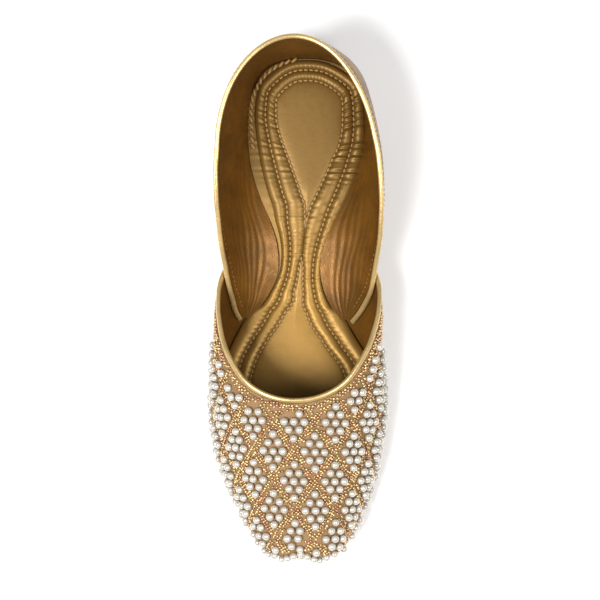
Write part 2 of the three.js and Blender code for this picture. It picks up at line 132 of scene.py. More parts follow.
# Underside of the sole. heel: share of the heel height. spring: share of the toe spring.
SOLE_PROFILE = table(
    "along heel spring",
    (0, 1, 0),
    (26, 1, 0),
    (34, 0.72, 0),
    (43, 0.28, 0),
    (52, 0, 0),
    (82, 0, 0),
    (90, 0, 0.22),
    (100, 0, 1),
)

# Sections of the last: the two handles of a rib from the feather line to the ridge.
# Outward distances are percent of half the ball width, heights percent of the collar height.
LAST = table(
    "along low_out low_up high_out high_z ridge",
    (0, 4, 40, 46, 118, 200),
    (2.5, 7, 40, 46, 118, 199),
    (7, 10.5, 38, 48, 118, 196),
    (14, 17, 30, 58, 112, 188),
    (21, 26, 22, 74, 104, 178),
    (27, 38, 17, 91, 96, 166),
    (33, 54, 15, 108, 88, 152),
    (38.5, 64, 14, 117, 80, 138),
    (43, 66, 15, 112, 75, 125),
    (47, 62, 16, 98, 73, 112),
    (52, 48, 18, 70, 73, 100),
    (57, 31, 22, 36, 77, 90),
    (63, 15, 26, 2, 79, 81),
    (THROAT, 7, 28, -14, 73.4, 73.4),
    (77, 4.5, 28, -26, 65, 65),
    (85, 4, 25, -26, 56, 56),
    (92, 3.5, 21, -20, 49, 49),
    (100, 3, 17, -8, 42, 42),
)

# Top edges of the two pieces of the upper, seen from the side. height: percent of the collar height.
QUARTER_EDGE = table(
    "along height",
    (-3, 100),
    (6, 97.5),
    (14, 92),
    (21, 86),
    (27, 79),
    (33, 70),
    (37.5, 61),
    (41.5, 52),
    (46, 41),
    (49.5, 29),
    (53, 15),
)
VAMP_EDGE = table(
    "along height",
    (VAMP_REAR, 21),
    (37.5, 25),
    (40, 31),
    (43, 39),
    (46.5, 47),
    (51, 54),
    (57, 60),
    (62, 66),
    (65.5, 70),
    (THROAT, 100 * INSTEP_HEIGHT / COLLAR_HEIGHT),
)


def smooth(rows, name):
    """A curve through one column of a table that never overshoots its rows."""
    x, y = rows["along"], rows[name]
    slopes = np.diff(y) / np.diff(x)
    before = np.concatenate([slopes[:1], slopes])
    after = np.concatenate([slopes, slopes[-1:]])
    same_way = before * after > 0
    tangents = np.where(same_way, 2 * before * after / np.where(same_way, before + after, 1), 0)

    def curve(along):
        at = np.clip(along, x[0], x[-1])
        i = np.clip(np.searchsorted(x, at) - 1, 0, len(slopes) - 1)
        width = x[i + 1] - x[i]
        t = (at - x[i]) / width
        turn = t * (1 - t) * width
        return y[i] + (y[i + 1] - y[i]) * ease(t) + turn * ((1 - t) * tangents[i] - t * tangents[i + 1])

    return curve


def percent(share, whole):
    return share * whole / 100


def ease(t):
    """A smooth step for t from 0 to 1."""
    return t * t * (3 - 2 * t)


def between(x, low, high):
    return np.clip((x - low) / (high - low), 0, 1)


def window(x, low, high, soft):
    """1 between low and high, fading to 0 over a soft margin outside them."""
    return ease(between(x, low - soft, low)) * (1 - ease(between(x, high, high + soft)))


def bump(x, centre, width):
    """A smooth hump of height 1."""
    return np.exp(-(((x - centre) / width) ** 2))


def unit(vectors):
    return vectors / np.maximum(np.linalg.norm(vectors, axis=-1), 1e-12)[..., None]


def walked(points):
    """The distance along a line of points, at each of them."""
    return np.concatenate([[0], np.cumsum(np.linalg.norm(np.diff(points, axis=0), axis=1))])


def sampled(at, lengths, values):
    """Vectors at distances along a line that has them at the given lengths."""
    return np.stack([np.interp(at, lengths, values[:, k]) for k in range(3)], 1)


def closed_curve(points, steps):
    """A centripetal spline through the points and back to the first."""
    before, here, after, beyond = (np.roll(points, k, 0) for k in (1, 0, -1, -2))

    def gap(a, b):
        return np.sqrt(np.linalg.norm(b - a, axis=1))[:, None]

    d0, d1, d2 = gap(before, here), gap(here, after), gap(after, beyond)
    leave = ((here - before) / d0 - (after - before) / (d0 + d1) + (after - here) / d1) * d1
    arrive = ((after - here) / d1 - (beyond - here) / (d1 + d2) + (beyond - after) / d2) * d1
    t = np.linspace(0, 1, steps, endpoint=False)[None, :, None]
    here, after, leave, arrive = (a[:, None] for a in (here, after, leave, arrive))
    curve = here + leave * t + (3 * (after - here) - 2 * leave - arrive) * t**2
    return (curve + (2 * (here - after) + leave + arrive) * t**3).reshape(-1, 2)


def plan_sides(steps=60):
    """For each side of the sole: arc share from heel to toe, place and inward direction."""
    x = percent(SOLE_PLAN["along"], SOLE_LENGTH)
    half = percent(SOLE_PLAN["half"], HALF_WIDTH)
    swing = percent(SOLE_PLAN["swing"], HALF_WIDTH)
    toe = [[percent(TOE_DIP[0], SOLE_LENGTH), percent(TOE_DIP[1], HALF_WIDTH)]]
    medial = np.stack([x, swing + half], 1)
    lateral = np.stack([x, swing - half], 1)[::-1]
    curve = closed_curve(np.concatenate([[[0, 0]], medial, toe, lateral]), steps)
    tip = (len(x) + 1) * steps
    loop = np.concatenate([curve, curve[:1]])
    sides = {}
    for side, points in ((MEDIAL, loop[: tip + 1]), (LATERAL, loop[tip:][::-1])):
        lengths = walked(points)
        heading = np.gradient(points, lengths, axis=0)
        inward = np.stack([heading[:, 1], -heading[:, 0]], 1) * side
        inward /= np.linalg.norm(inward, axis=1)[:, None]
        sides[side] = (lengths / lengths[-1], np.concatenate([points, inward], 1), lengths[-1])
    # The two sides share their directions at the heel and at the toe.
    for end in (0, -1):
        shared = unit(sides[MEDIAL][1][end, 2:] + sides[LATERAL][1][end, 2:])
        for side in (MEDIAL, LATERAL):
            sides[side][1][end, 2:] = shared
    return sides


SIDES = plan_sides()
under_heel = smooth(SOLE_PROFILE, "heel")
under_spring = smooth(SOLE_PROFILE, "spring")
swing_at = smooth(SOLE_PLAN, "swing")
last_column = {name: smooth(LAST, name) for name in ("low_out", "low_up", "high_out", "high_z", "ridge")}
quarter_edge = smooth(QUARTER_EDGE, "height")
vamp_edge = smooth(VAMP_EDGE, "height")


def along_of(x):
    return 100 * x / SOLE_LENGTH


def sole_under(x):
    return under_heel(along_of(x)) * HEEL_HEIGHT + under_spring(along_of(x)) * TOE_SPRING


def sole_top(x):
    return sole_under(x) + SOLE_THICKNESS


def outline(side, s):
    """Places on the sole's outline and the way inwards there. s runs from 0 at the heel to 1 at the toe."""
    side, s = np.broadcast_arrays(side, s)
    columns = []
    for k in range(4):
        medial, lateral = (np.interp(s, SIDES[way][0], SIDES[way][1][:, k]) for way in (MEDIAL, LATERAL))
        columns.append(np.where(side > 0, medial, lateral))
    return np.stack(columns[:2], -1), np.stack(columns[2:], -1)


def station_x(s):
    return (outline(MEDIAL, s)[0][..., 0] + outline(LATERAL, s)[0][..., 0]) / 2


STATION_SHARES = np.linspace(0, 1, 6001)
STATION_PLACES = np.maximum.accumulate(station_x(STATION_SHARES))


def station_at(x):
    """The station whose two outline points lie at x on average."""
    return np.interp(x, STATION_PLACES, STATION_SHARES)


HEEL_FAN = {"pivot": 13, "end": 21, "power": 2}
TOE_FAN = {"start": 77, "pivot": 96, "power": 2}
HEEL_FAN_STATION = station_at(percent(HEEL_FAN["end"], SOLE_LENGTH))
TOE_FAN_STATION = station_at(percent(TOE_FAN["start"], SOLE_LENGTH))


def spine(s):
    """The line that all ribs run to. Ribs fan out round the heel and the toe."""
    heel = np.clip(s / HEEL_FAN_STATION, 0, 1) ** HEEL_FAN["power"]
    toe = 1 - np.clip((1 - s) / (1 - TOE_FAN_STATION), 0, 1) ** TOE_FAN["power"]
    heel_x = percent(HEEL_FAN["pivot"] + (HEEL_FAN["end"] - HEEL_FAN["pivot"]) * heel, SOLE_LENGTH)
    toe_x = percent(TOE_FAN["start"] + (TOE_FAN["pivot"] - TOE_FAN["start"]) * toe, SOLE_LENGTH)
    x = np.where(s < HEEL_FAN_STATION, heel_x, np.where(s > TOE_FAN_STATION, toe_x, station_x(s)))
    return np.stack([x, percent(swing_at(along_of(x)), HALF_WIDTH)], -1)


def rib(side, s, inset):
    """A rib in plan: from the outline, moved in by a distance square to it, to the spine."""
    point, inward = outline(side, s)
    end = spine(s)
    direction = end - point
    direction = direction / np.linalg.norm(direction, axis=-1)[..., None]
    slant = np.maximum(STEEPEST_RIB, (direction * inward).sum(-1))
    start = point + direction * (inset / slant)[..., None]
    return point, start, direction, end, np.linalg.norm(end - start, axis=-1)


def feather_inset(along):
    """How far the feather line, where the last meets the sole, lies in from the outline."""
    return FEATHER_HEEL + (FEATHER_FRONT - FEATHER_HEEL) * ease(between(along, 26, 38))


def cubic(a, b, c, d, v):
    """A curve from a to d with the handles b and c."""
    return a * (1 - v) ** 3 + 3 * b * v * (1 - v) ** 2 + 3 * c * v**2 * (1 - v) + d * v**3


def rib_heights(along, edge_x):
    """The low handle's outward distance, and the heights of a rib's foot, two handles and ridge."""
    low_out = percent(last_column["low_out"](along), HALF_WIDTH)
    low_up = percent(last_column["low_up"](along), COLLAR_HEIGHT)
    flare = low_out / np.hypot(low_out, low_up)
    lapped = (feather_inset(along) - FEATHER_HEEL) / (FEATHER_FRONT - FEATHER_HEEL) * VAMP_OUTER
    foot = sole_top(edge_x) + PIECE_GAP + (lapped + PIECE_GAP) * flare
    high_z = percent(last_column["high_z"](along), COLLAR_HEIGHT)
    ridge = percent(last_column["ridge"](along), COLLAR_HEIGHT)
    return low_out, (foot, foot + low_up, high_z, ridge)


def high_handles(side):
    """The high handle's outward distance at every station. Round the heel it meets the collar's ellipse."""
    s = STATION_SHARES
    along = along_of(station_x(s))
    edge, start, direction, _, reach = rib(side, s, feather_inset(along))
    low_out, heights = rib_heights(along, edge[:, 0])
    radii = np.array([COLLAR_REACH, COLLAR_HALF])
    place = (start - [COLLAR_BACK + COLLAR_REACH, 0]) / radii
    way = -direction / radii
    forward = (place * way).sum(1)
    square = (way * way).sum(1)
    root = np.sqrt(np.maximum(forward**2 - square * ((place * place).sum(1) - 1), 0))
    out = (root - forward) / square
    rim = percent(quarter_edge(along_of(start[:, 0] - out * direction[:, 0])), COLLAR_HEIGHT)
    v = bisect(lambda middle: cubic(*heights, middle) < rim, s.shape)
    collar = (out - cubic(0, low_out, 0, -reach, v)) / np.maximum(cubic(0, 0, 1, 0, v), NUDGE)
    share = 1 - ease(between(along, COLLAR_FADE["start"], COLLAR_FADE["end"]))
    return percent(last_column["high_out"](along), HALF_WIDTH) * (1 - share) + collar * share


BISECT_STEPS = 40


def bisect(below, shape):
    """Where a rising test changes between 0 and 1."""
    low, high = np.zeros(shape), np.ones(shape)
    for _ in range(BISECT_STEPS):
        middle = (low + high) / 2
        under = below(middle)
        low = np.where(under, middle, low)
        high = np.where(under, high, middle)
    return low


HIGH_HANDLES = {side: high_handles(side) for side in (MEDIAL, LATERAL)}


def last_point(side, station, v):
    """Points of the last. v runs from 0 at the feather line to 1 at the ridge."""
    side, station, v = (np.asarray(a, float) for a in np.broadcast_arrays(side, station, v))
    s = np.where(station < 0, -station, np.where(station > 1, 2 - station, station))
    way = np.where(s == station, side, -side)
    along = along_of(station_x(s))
    edge, start, direction, end, reach = rib(way, s, feather_inset(along))
    low_out, heights = rib_heights(along, edge[..., 0])
    medial, lateral = (np.interp(s, STATION_SHARES, HIGH_HANDLES[k]) for k in (MEDIAL, LATERAL))
    out = cubic(0, low_out, np.where(way > 0, medial, lateral), -reach, v)
    z = cubic(*heights, v)
    sway = COLLAR_SWAY * ease(between(z, SWAY_FOOT, COLLAR_HEIGHT)) * (1 - ease(between(along, 0, SWAY_FADE)))
    curved = np.minimum(0, percent(swing_at(along), HALF_WIDTH))
    straighten = curved * ease(between(z - heights[0], 0, STRAIGHTEN_HEIGHT))
    plan = np.where((v == 1)[..., None], end, start - direction * out[..., None])
    return np.stack([plan[..., 0], plan[..., 1] - sway - straighten, z], -1)


def last_normal(side, s, v):
    """The last's outward normals."""
    side, s, v = (np.asarray(a, float) for a in np.broadcast_arrays(side, s, v))
    lower = np.minimum(v, 1 - 2 * NUDGE)
    along = last_point(side, s + NUDGE, lower) - last_point(side, s - NUDGE, lower)
    up = last_point(side, s, lower + NUDGE) - last_point(side, s, np.maximum(lower - NUDGE, 0))
    normal = unit(np.cross(along, up) * -side[..., None])
    ridge = last_point(side, s, np.ones_like(v)) - last_point(side, s - NUDGE, np.ones_like(v))
    crest = unit(np.stack([-ridge[..., 2], np.zeros_like(v), ridge[..., 0]], -1))
    return np.where((v >= 1)[..., None], crest, normal)


def on_last(side, s, v, offset):
    """Points at a distance from the last, outwards if it is positive."""
    return last_point(side, s, v) + last_normal(side, s, v) * np.asarray(offset)[..., None]


def edge_height(edge, side, s):
    """How far up its rib a piece of the upper reaches, from its top edge seen from the side."""

    def below(middle):
        point = last_point(side, s, middle)
        return point[..., 2] < percent(edge(along_of(point[..., 0])), COLLAR_HEIGHT)

    return bisect(below, s.shape)


# The last's axes in the part's frame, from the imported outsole.
SOLE_BOX = [np.array(corner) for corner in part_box("outsole")]
SHIFT = np.array(
    [
        SOLE_BOX[0][0] / MM - SIDES[MEDIAL][1][:, 0].min(),
        SOLE_BOX[1][1] / MM - SIDES[MEDIAL][1][:, 1].max(),
        SOLE_BOX[0][2] / MM,
    ]
)


def to_frame(points):
    """Points in the last's axes and millimetres, as the part's frame has them in metres."""
    return (np.asarray(points) + SHIFT) * MM


SHARP_ANGLE = math.radians(50)


class Mesh:
    """Gathers vertices, faces and one number per vertex, and makes a piece of them."""

    def __init__(self):
        self.vertices = []
        self.tints = []
        self.faces = []
        self.slots = []
        self.count = 0

    def points(self, points, tint=0.0):
        """Adds points and returns their numbers in the same layout."""
        flat = np.asarray(points, float).reshape(-1, 3)
        numbers = np.arange(self.count, self.count + len(flat)).reshape(np.shape(points)[:-1])
        self.vertices.append(flat)
        self.tints.append(np.broadcast_to(tint, numbers.shape).ravel())
        self.count += len(flat)
        return numbers

    def quads(self, a, b, c, d, slot=0):
        faces = np.stack([np.ravel(k) for k in (a, b, c, d)], 1)
        self.faces.append(faces)
        self.slots.append(np.full(len(faces), slot))

    def grid(self, numbers, slot=0, flip=False):
        """Quads over a grid of numbered points."""
        corners = [numbers[:-1, :-1], numbers[1:, :-1], numbers[1:, 1:], numbers[:-1, 1:]]
        if flip:
            corners.reverse()
        self.quads(*corners, slot=slot)

    def copies(self, shape, centres, axes, tints):
        """Copies of a small shape, each at a centre, along three scaled axes."""
        points, faces = shape
        placed = centres[:, None, :] + np.einsum("vk,nkd->nvd", points, axes)
        numbers = self.points(placed, np.broadcast_to(np.asarray(tints)[:, None], placed.shape[:2]))
        for count in sorted({len(face) for face in faces}):
            picked = np.array([face for face in faces if len(face) == count])
            corners = numbers[:, picked].reshape(-1, count)
            if count == 3:
                corners = np.concatenate([corners, corners[:, 2:]], 1)
            self.faces.append(corners)
            self.slots.append(np.zeros(len(corners), int))

    def piece(self, name, materials, replaces=None, slot=None, weld=True):
        """Makes the object, joins points at one place if weld is set, hides the parts it replaces and hangs
        it on the body.
        """
        if not self.faces:
            raise RuntimeError(f"{name} has no faces")
        vertices = to_frame(np.concatenate(self.vertices))
        tints = np.concatenate(self.tints)
        faces = np.concatenate(self.faces)
        slots = np.concatenate(self.slots)
        if weld:
            _, first, back = np.unique(np.round(vertices, 8), axis=0, return_index=True, return_inverse=True)
            vertices, tints, faces = vertices[first], tints[first], np.ravel(back)[faces]
        corners = []
        kept = []
        for face, slot_number in zip(faces.tolist(), slots.tolist()):
            ring = [v for i, v in enumerate(face) if v != face[i - 1]]
            if len(ring) > 2:
                corners.append(ring)
                kept.append(slot_number)
        data = bpy.data.meshes.new(name)
        data.from_pydata(vertices.tolist(), [], corners)
        data.polygons.foreach_set("use_smooth", [True] * len(corners))
        data.polygons.foreach_set("material_index", kept)
        data.set_sharp_from_angle(angle=SHARP_ANGLE)
        data.attributes.new("tint", "FLOAT", "POINT").data.foreach_set("value", tints.astype(np.float32))
        for material in materials:
            data.materials.append(material)
        data.validate()
        data.update()
        piece = bpy.data.objects.new(name, data)
        bpy.context.scene.collection.objects.link(piece)
        if replaces:
            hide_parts(replaces)
        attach(piece, BODY)
        return piece


def ball(segments, rings):
    """A unit ball as points and faces."""
    points = [(0.0, 0.0, 1.0)]
    for r in range(1, rings):
        polar = math.pi * r / rings
        for k in range(segments):
            turn = 2 * math.pi * k / segments
            around = math.sin(polar)
            points.append((around * math.cos(turn), around * math.sin(turn), math.cos(polar)))
    points.append((0.0, 0.0, -1.0))
    end = len(points) - 1
    faces = []
    for k in range(segments):
        after = (k + 1) % segments
        faces.append((0, 1 + k, 1 + after))
        for r in range(rings - 2):
            a, b = 1 + r * segments, 1 + (r + 1) * segments
            faces.append((a + k, b + k, b + after, a + after))
        base = 1 + (rings - 2) * segments
        faces.append((base + k, end, base + after))
    return np.array(points), faces


def srgb(red, green, blue):
    """A colour given as 0 to 255 on screen, as the shader's own numbers."""

    def linear(value):
        value /= 255
        return value / 12.92 if value <= 0.04045 else ((value + 0.055) / 1.055) ** 2.4

    return tuple(linear(v) for v in (red, green, blue))


class Socket:
    """A shader value that takes part in Python arithmetic."""

    def __init__(self, tree, output):
        self.tree = tree
        self.output = output

    def math(self, operation, *values):
        """A Math node on values and sockets."""
        node = self.tree.nodes.new("ShaderNodeMath")
        node.operation = operation
        for plug, value in zip(node.inputs, values):
            connect(self.tree, plug, value)
        return Socket(self.tree, node.outputs[0])

    def __add__(self, other):
        return self.math("ADD", self, other)

    def __sub__(self, other):
        return self.math("SUBTRACT", self, other)

    def __rsub__(self, other):
        return self.math("SUBTRACT", other, self)

    def __mul__(self, other):
        return self.math("MULTIPLY", self, other)

    def __truediv__(self, other):
        return self.math("DIVIDE", self, other)

    def __rtruediv__(self, other):
        return self.math("DIVIDE", other, self)

    def __pow__(self, other):
        return self.math("POWER", self, other)

    __radd__ = __add__
    __rmul__ = __mul__


def connect(tree, plug, value):
    """Links a socket to an input, or sets the input's value. A colour of three numbers gets its alpha."""
    if isinstance(value, Socket):
        tree.links.new(value.output, plug)
    elif hasattr(value, "__len__") and len(value) == 3 and len(plug.default_value) == 4:
        plug.default_value = (*value, 1)
    else:
        plug.default_value = value


class Finish:
    """A material under construction."""

    def __init__(self, name):
        self.material = bpy.data.materials.new(name)
        self.material.use_nodes = True
        self.tree = self.material.node_tree
        self.shader = self.tree.nodes["Principled BSDF"]

    def node(self, kind, settings=None, output=0, **sockets):
        """A node of one kind: its settings first, then the values or links of its sockets."""
        node = self.tree.nodes.new("ShaderNode" + kind)
        for key, value in (settings or {}).items():
            setattr(node, key, value)
        for key, value in sockets.items():
            connect(self.tree, self.plug(node, key), value)
        return Socket(self.tree, node.outputs[output])

    @staticmethod
    def plug(node, key):
        """A socket by its place, such as input_6, or by its name with spaces as underscores."""
        if key.startswith("input_"):
            return node.inputs[int(key[6:])]
        return node.inputs[key.replace("_", " ")]

    def place(self):
        return self.node("TexCoord", output=3)

    def noise(self, scale, detail=4.0, roughness=0.55):
        return self.node("TexNoise", Vector=self.place(), Scale=scale, Detail=detail, Roughness=roughness)

    def cells(self, scale):
        return self.node("TexVoronoi", Vector=self.place(), Scale=scale)

    def tint(self):
        return self.node("Attribute", {"attribute_name": "tint"}, output=2)

    def mix(self, share, first, second):
        settings = {"data_type": "RGBA"}
        return self.node("Mix", settings, output=2, input_0=share, input_6=first, input_7=second)

    def spread(self, value, low, high, to_low=0.0, to_high=1.0):
        """A value stretched from one range to another and held inside it."""
        ranges = {"input_1": low, "input_2": high, "input_3": to_low, "input_4": to_high}
        return self.node("MapRange", input_0=value, **ranges)

    def relief(self, height, depth, strength=1.0):
        return self.node("Bump", Height=height, Distance=depth, Strength=strength)

    def done(self, **sockets):
        for key, value in sockets.items():
            connect(self.tree, self.shader.inputs[key.replace("_", " ")], value)
        return self.material


def leather(name, colour, shade, roughness, metallic, grain=1.0):
    """Metallic foil leather: fine grain, soft crinkles, and a darker shade where the foil thins."""
    finish = Finish(name)
    pebble = finish.cells(1150.0)
    crinkle = finish.noise(260.0, 6.0, 0.6)
    patches = finish.noise(60.0, 3.0)
    wear_and_painted_shade = finish.spread(patches + 0.35 * crinkle, 0.5, 0.85)
    height = 0.45 * pebble + 0.9 * crinkle
    return finish.done(
        Base_Color=finish.mix(wear_and_painted_shade, colour, shade),
        Roughness=finish.spread(crinkle, 0.3, 0.7, roughness - 0.07, roughness + 0.1),
        Metallic=metallic,
        Normal=finish.relief(height, 0.00022 * grain, 0.55),
    )


def quilted(name, colour, shade):
    """Smooth padded foil leather with painted shade in its seams and at its edge, where tint rises to 1, and
    towards its heel end.
    """
    finish = Finish(name)
    fine = finish.cells(1700.0)
    crinkle = finish.noise(330.0, 5.0, 0.6)
    cloud = finish.noise(28.0, 3.0)
    softened = tuple(0.8 * c for c in colour)
    # Painted shade: the colour the insole darkens to towards its heel end, standing in for the shade of the
    # walls round the heel.
    wear_and_painted_shade = tuple(0.62 * c for c in colour)
    heel_end = finish.node("SeparateXYZ", Vector=finish.place())
    base = finish.mix(finish.spread(cloud, 0.35, 0.7), colour, softened)
    base = finish.mix(finish.spread(heel_end, -0.055, 0.0, 1.0, 0.0), base, wear_and_painted_shade)
    # Painted shade in the seams and round the edge: darker and less metallic where tint rises.
    painted_seam_shade = finish.spread(finish.tint() ** 1.4, 0.0, 1.0)
    height = 0.35 * fine + 0.6 * crinkle
    return finish.done(
        Base_Color=finish.mix(painted_seam_shade * 0.9, base, shade),
        Roughness=finish.spread(crinkle, 0.3, 0.7, 0.4, 0.52),
        Metallic=0.5 - 0.3 * painted_seam_shade,
        Normal=finish.relief(height, 0.00016, 0.4),
    )


def rubber(name, colour, shade):
    """Moulded rubber with a faint satin texture, and painted shade in its grooves, where tint rises to 1."""
    finish = Finish(name)
    fine = finish.noise(1500.0, 3.0)
    cloud = finish.noise(45.0, 4.0)
    painted_groove_shade = tuple(0.45 * c for c in colour)
    skin = finish.mix(finish.spread(cloud, 0.35, 0.7), colour, shade)
    return finish.done(
        Base_Color=finish.mix(finish.tint() * 0.8, skin, painted_groove_shade),
        Roughness=finish.spread(fine, 0.3, 0.7, 0.48, 0.62),
        Normal=finish.relief(fine, 0.00008, 0.5),
    )


def beaded_cloth(name, cloth, foil):
    """Woven cloth under the beads, and plain foil leather where tint falls to 0."""
    finish = Finish(name)

    def threads(direction):
        settings = {"bands_direction": direction}
        return finish.node("TexWave", settings, Vector=finish.place(), Scale=420.0, Distortion=0.6)

    weave = threads("X") * 0.5 + threads("Y") * 0.5
    crinkle = finish.noise(260.0, 6.0, 0.6)
    covered = finish.spread(finish.tint(), 0.35, 0.65)
    dark_cloth = tuple(0.6 * c for c in cloth)
    woven = finish.mix(weave, dark_cloth, cloth)
    dark_foil = tuple(0.62 * c for c in foil)
    plain = finish.mix(finish.spread(crinkle, 0.4, 0.7), foil, dark_foil)
    height = covered * weave * 0.8 + (1 - covered) * crinkle
    return finish.done(
        Base_Color=finish.mix(covered, plain, woven),
        Roughness=0.4 + 0.3 * covered,
        Metallic=0.55 - 0.45 * covered,
        Normal=finish.relief(height, 0.0003, 0.6),
    )


def pearl(name, colour, shade):
    """A clouded pearl under a clear coat. Tint sets its shade."""
    finish = Finish(name)
    cloud = finish.noise(500.0, 2.0)
    return finish.done(
        Base_Color=finish.mix(finish.tint() * 0.8 + 0.2 * cloud, colour, shade),
        Roughness=finish.spread(cloud, 0.3, 0.7, 0.16, 0.24),
        Metallic=0.25,
        Coat_Weight=1.0,
        Coat_Roughness=0.05,
    )


def seed_bead(name, colour, shade):
    """A small metal-lined glass bead. Tint sets its shade and how dull it is."""
    finish = Finish(name)
    tint = finish.tint()
    return finish.done(
        Base_Color=finish.mix(tint, colour, shade),
        Roughness=0.16 + 0.14 * tint,
        Metallic=0.6,
        Coat_Weight=0.6,
    )


def thread(name, colour, shade):
    """Twisted sewing thread. Tint darkens it."""
    finish = Finish(name)
    twist = finish.node("TexWave", {"bands_direction": "DIAGONAL"}, Vector=finish.place(), Scale=900.0)
    return finish.done(
        Base_Color=finish.mix(twist * 0.7 + 0.3 * finish.tint(), colour, shade),
        Roughness=0.55,
        Normal=finish.relief(twist, 0.0001, 0.6),
    )


def size_property(name, description, size, lowest=0.1):
    """A length with its unit. size and lowest are in millimetres."""
    return bpy.props.FloatProperty(
        name=name, description=description, default=size * MM, min=lowest * MM, precision=5, unit="LENGTH"
    )


class ShoeSizes(bpy.types.PropertyGroup):
    """Sizes of the details"""

    pearl_size: size_property("Pearl", "Diameter of a pearl", 3.9, 1)
    pearl_across: size_property("Pearls across", "Spacing of pearls across the foot", 4.7, 1)
    pearl_along: size_property("Pearls along", "Spacing of pearl rows along the foot", 4.2, 1)
    diamond_across: size_property("Diamond width", "Half the width of a lattice diamond", 9.8, 2)
    diamond_along: size_property("Diamond length", "Half the length of a lattice diamond", 15.1, 2)
    seed_size: size_property("Seed bead", "Diameter of a seed bead", 1.42, 0.4)
    stitch_pitch: size_property("Stitch pitch", "Distance from stitch to stitch", 2.6, 0.5)
    lateral_flange: size_property("Lateral flange", "Flat edge of the insole at the lateral heel", 1.4, 0)
    corner_flange: size_property("Corner flange", "Flat edge at the insole's heel corners", 1.8, 0)
    tread_pitch: size_property("Tread pitch", "Distance between the ridges of the tread", 2.7, 0.5)
    heel_rib_pitch: size_property("Heel ribs", "Distance between the ribs of the heel", 2.1, 0.5)


def colour_property(name, description, default):
    return bpy.props.FloatVectorProperty(
        name=name, description=description, subtype="COLOR", size=3, min=0, max=1, default=default
    )


class ShoeColours(bpy.types.PropertyGroup):
    """Colours of the shoe's materials"""

    leather: colour_property("Leather", "Gold leather of the quarter", srgb(150, 112, 54))
    lining: colour_property("Lining", "Leather inside the shoe", srgb(126, 84, 24))
    insole: colour_property("Insole", "Padded insole", srgb(146, 110, 46))
    binding: colour_property("Binding", "Rolled edges", srgb(216, 184, 124))
    cloth: colour_property("Cloth", "Cloth under the beads", srgb(154, 120, 80))
    pearl: colour_property("Pearl", "Pearls", srgb(194, 188, 176))
    gold_bead: colour_property("Gold bead", "Gold seed beads", srgb(226, 192, 132))
    copper_bead: colour_property("Copper bead", "Copper seed beads", srgb(200, 146, 108))
    thread: colour_property("Thread", "Sewing thread", srgb(170, 130, 72))
    rubber: colour_property("Rubber", "Sole and heel", srgb(150, 112, 88))
    floor: colour_property("Floor", "The pale floor", (0.94, 0.94, 0.94))


def sizes():
    """The sizes of the details, in millimetres."""
    group = bpy.context.scene.shoe_sizes
    return types.SimpleNamespace(**{name: getattr(group, name) / MM for name in ShoeSizes.__annotations__})


def colour(name, strength=1.0):
    """One of the shoe's colours, made lighter or darker by strength."""
    return tuple(strength * c for c in getattr(bpy.context.scene.shoe_colours, name))


def plan_grid(side, s, insets):
    """Plan places on the ribs at stations s, at growing distances in from the outline and on to the spine."""
    s = np.asarray(s)[:, None]
    _, edge, direction, end, reach = rib(side, np.broadcast_to(s, (len(s), 1)), np.zeros((len(s), 1)))
    _, inward = outline(side, s)
    slant = np.maximum(STEEPEST_RIB, (direction * inward).sum(-1))
    distance = np.minimum(insets / slant, 0.97 * reach)
    return edge + direction * distance[..., None], end, distance * slant


def arc_mm(side, s):
    """Distance along the sole's outline from the heel, in millimetres."""
    return np.asarray(s) * SIDES[side][2]


def columns_of_quarter(steps):
    """The quarter's ribs from its lateral front round the heel: side, foot and top stations, and height."""
    front = station_at(percent(QUARTER_FRONT, SOLE_LENGTH))
    share = np.linspace(0, 1, steps + 1)
    side = np.concatenate([np.full(steps + 1, LATERAL), np.full(steps, MEDIAL)])
    s = np.concatenate([share[::-1], share[1:]]) * front
    return side, s, s, edge_height(quarter_edge, side, s)


def columns_of_vamp(rear_steps, toe_steps):
    """The vamp's ribs from its medial rear round the toe: side, foot and top stations, and height."""
    throat = station_at(percent(THROAT, SOLE_LENGTH))
    share = np.linspace(0, 1, rear_steps + 1)

    def rear(power):
        return station_at(percent(THROAT + (VAMP_REAR - THROAT) * share**power, SOLE_LENGTH))

    foot, top = rear(1.2), rear(1.6)
    toe = throat + (1 - throat) * np.linspace(0, 1, toe_steps + 1)[1:]
    sides, feet, tops, heights = [], [], [], []
    for side in (MEDIAL, LATERAL):
        height = edge_height(vamp_edge, side, top)
        height[0] = 1
        pairs = ((foot[::-1], toe), (top[::-1], toe), (height[::-1], np.ones_like(toe)))
        line = [np.concatenate(pair) for pair in pairs]
        if side == LATERAL:
            line = [values[::-1][1:] for values in line]
        sides.append(np.full(len(line[0]), side))
        feet.append(line[0])
        tops.append(line[1])
        heights.append(line[2])
    return tuple(np.concatenate(group) for group in (sides, feet, tops, heights))


def build_wall(mesh, columns, rows, inner, outer, cover=None):
    """A wall of the upper. inner and outer give its faces' distances from the last at (side, s, share)."""
    side, foot, top, height = (values[:, None] for values in columns)
    share = np.linspace(0, 1, rows + 1)[None, :]
    s = foot + (top - foot) * share
    v = np.where(share == 1, height, height * share)
    side = np.broadcast_to(side, s.shape)
    outside_points = on_last(side, s, v, outer(side, s, share + 0 * s))
    inside_points = on_last(side, s, v, inner(side, s, share + 0 * s))
    outside = mesh.points(outside_points, cover(outside_points) if cover else 0.0)
    inside = mesh.points(inside_points, 0.0)
    mesh.grid(outside, 0, flip=True)
    mesh.grid(inside, 1)
    mesh.quads(outside[:-1, 0], outside[1:, 0], inside[1:, 0], inside[:-1, 0], 1)
    closed = (columns[3][:-1] == 1) & (columns[3][1:] == 1)
    a, b = np.flatnonzero(~closed), np.flatnonzero(~closed) + 1
    mesh.quads(outside[a, -1], inside[a, -1], inside[b, -1], outside[b, -1], 1)
    mesh.quads(outside[0, :-1], inside[0, :-1], inside[0, 1:], outside[0, 1:], 1)
    mesh.quads(outside[-1, :-1], outside[-1, 1:], inside[-1, 1:], inside[-1, :-1], 1)


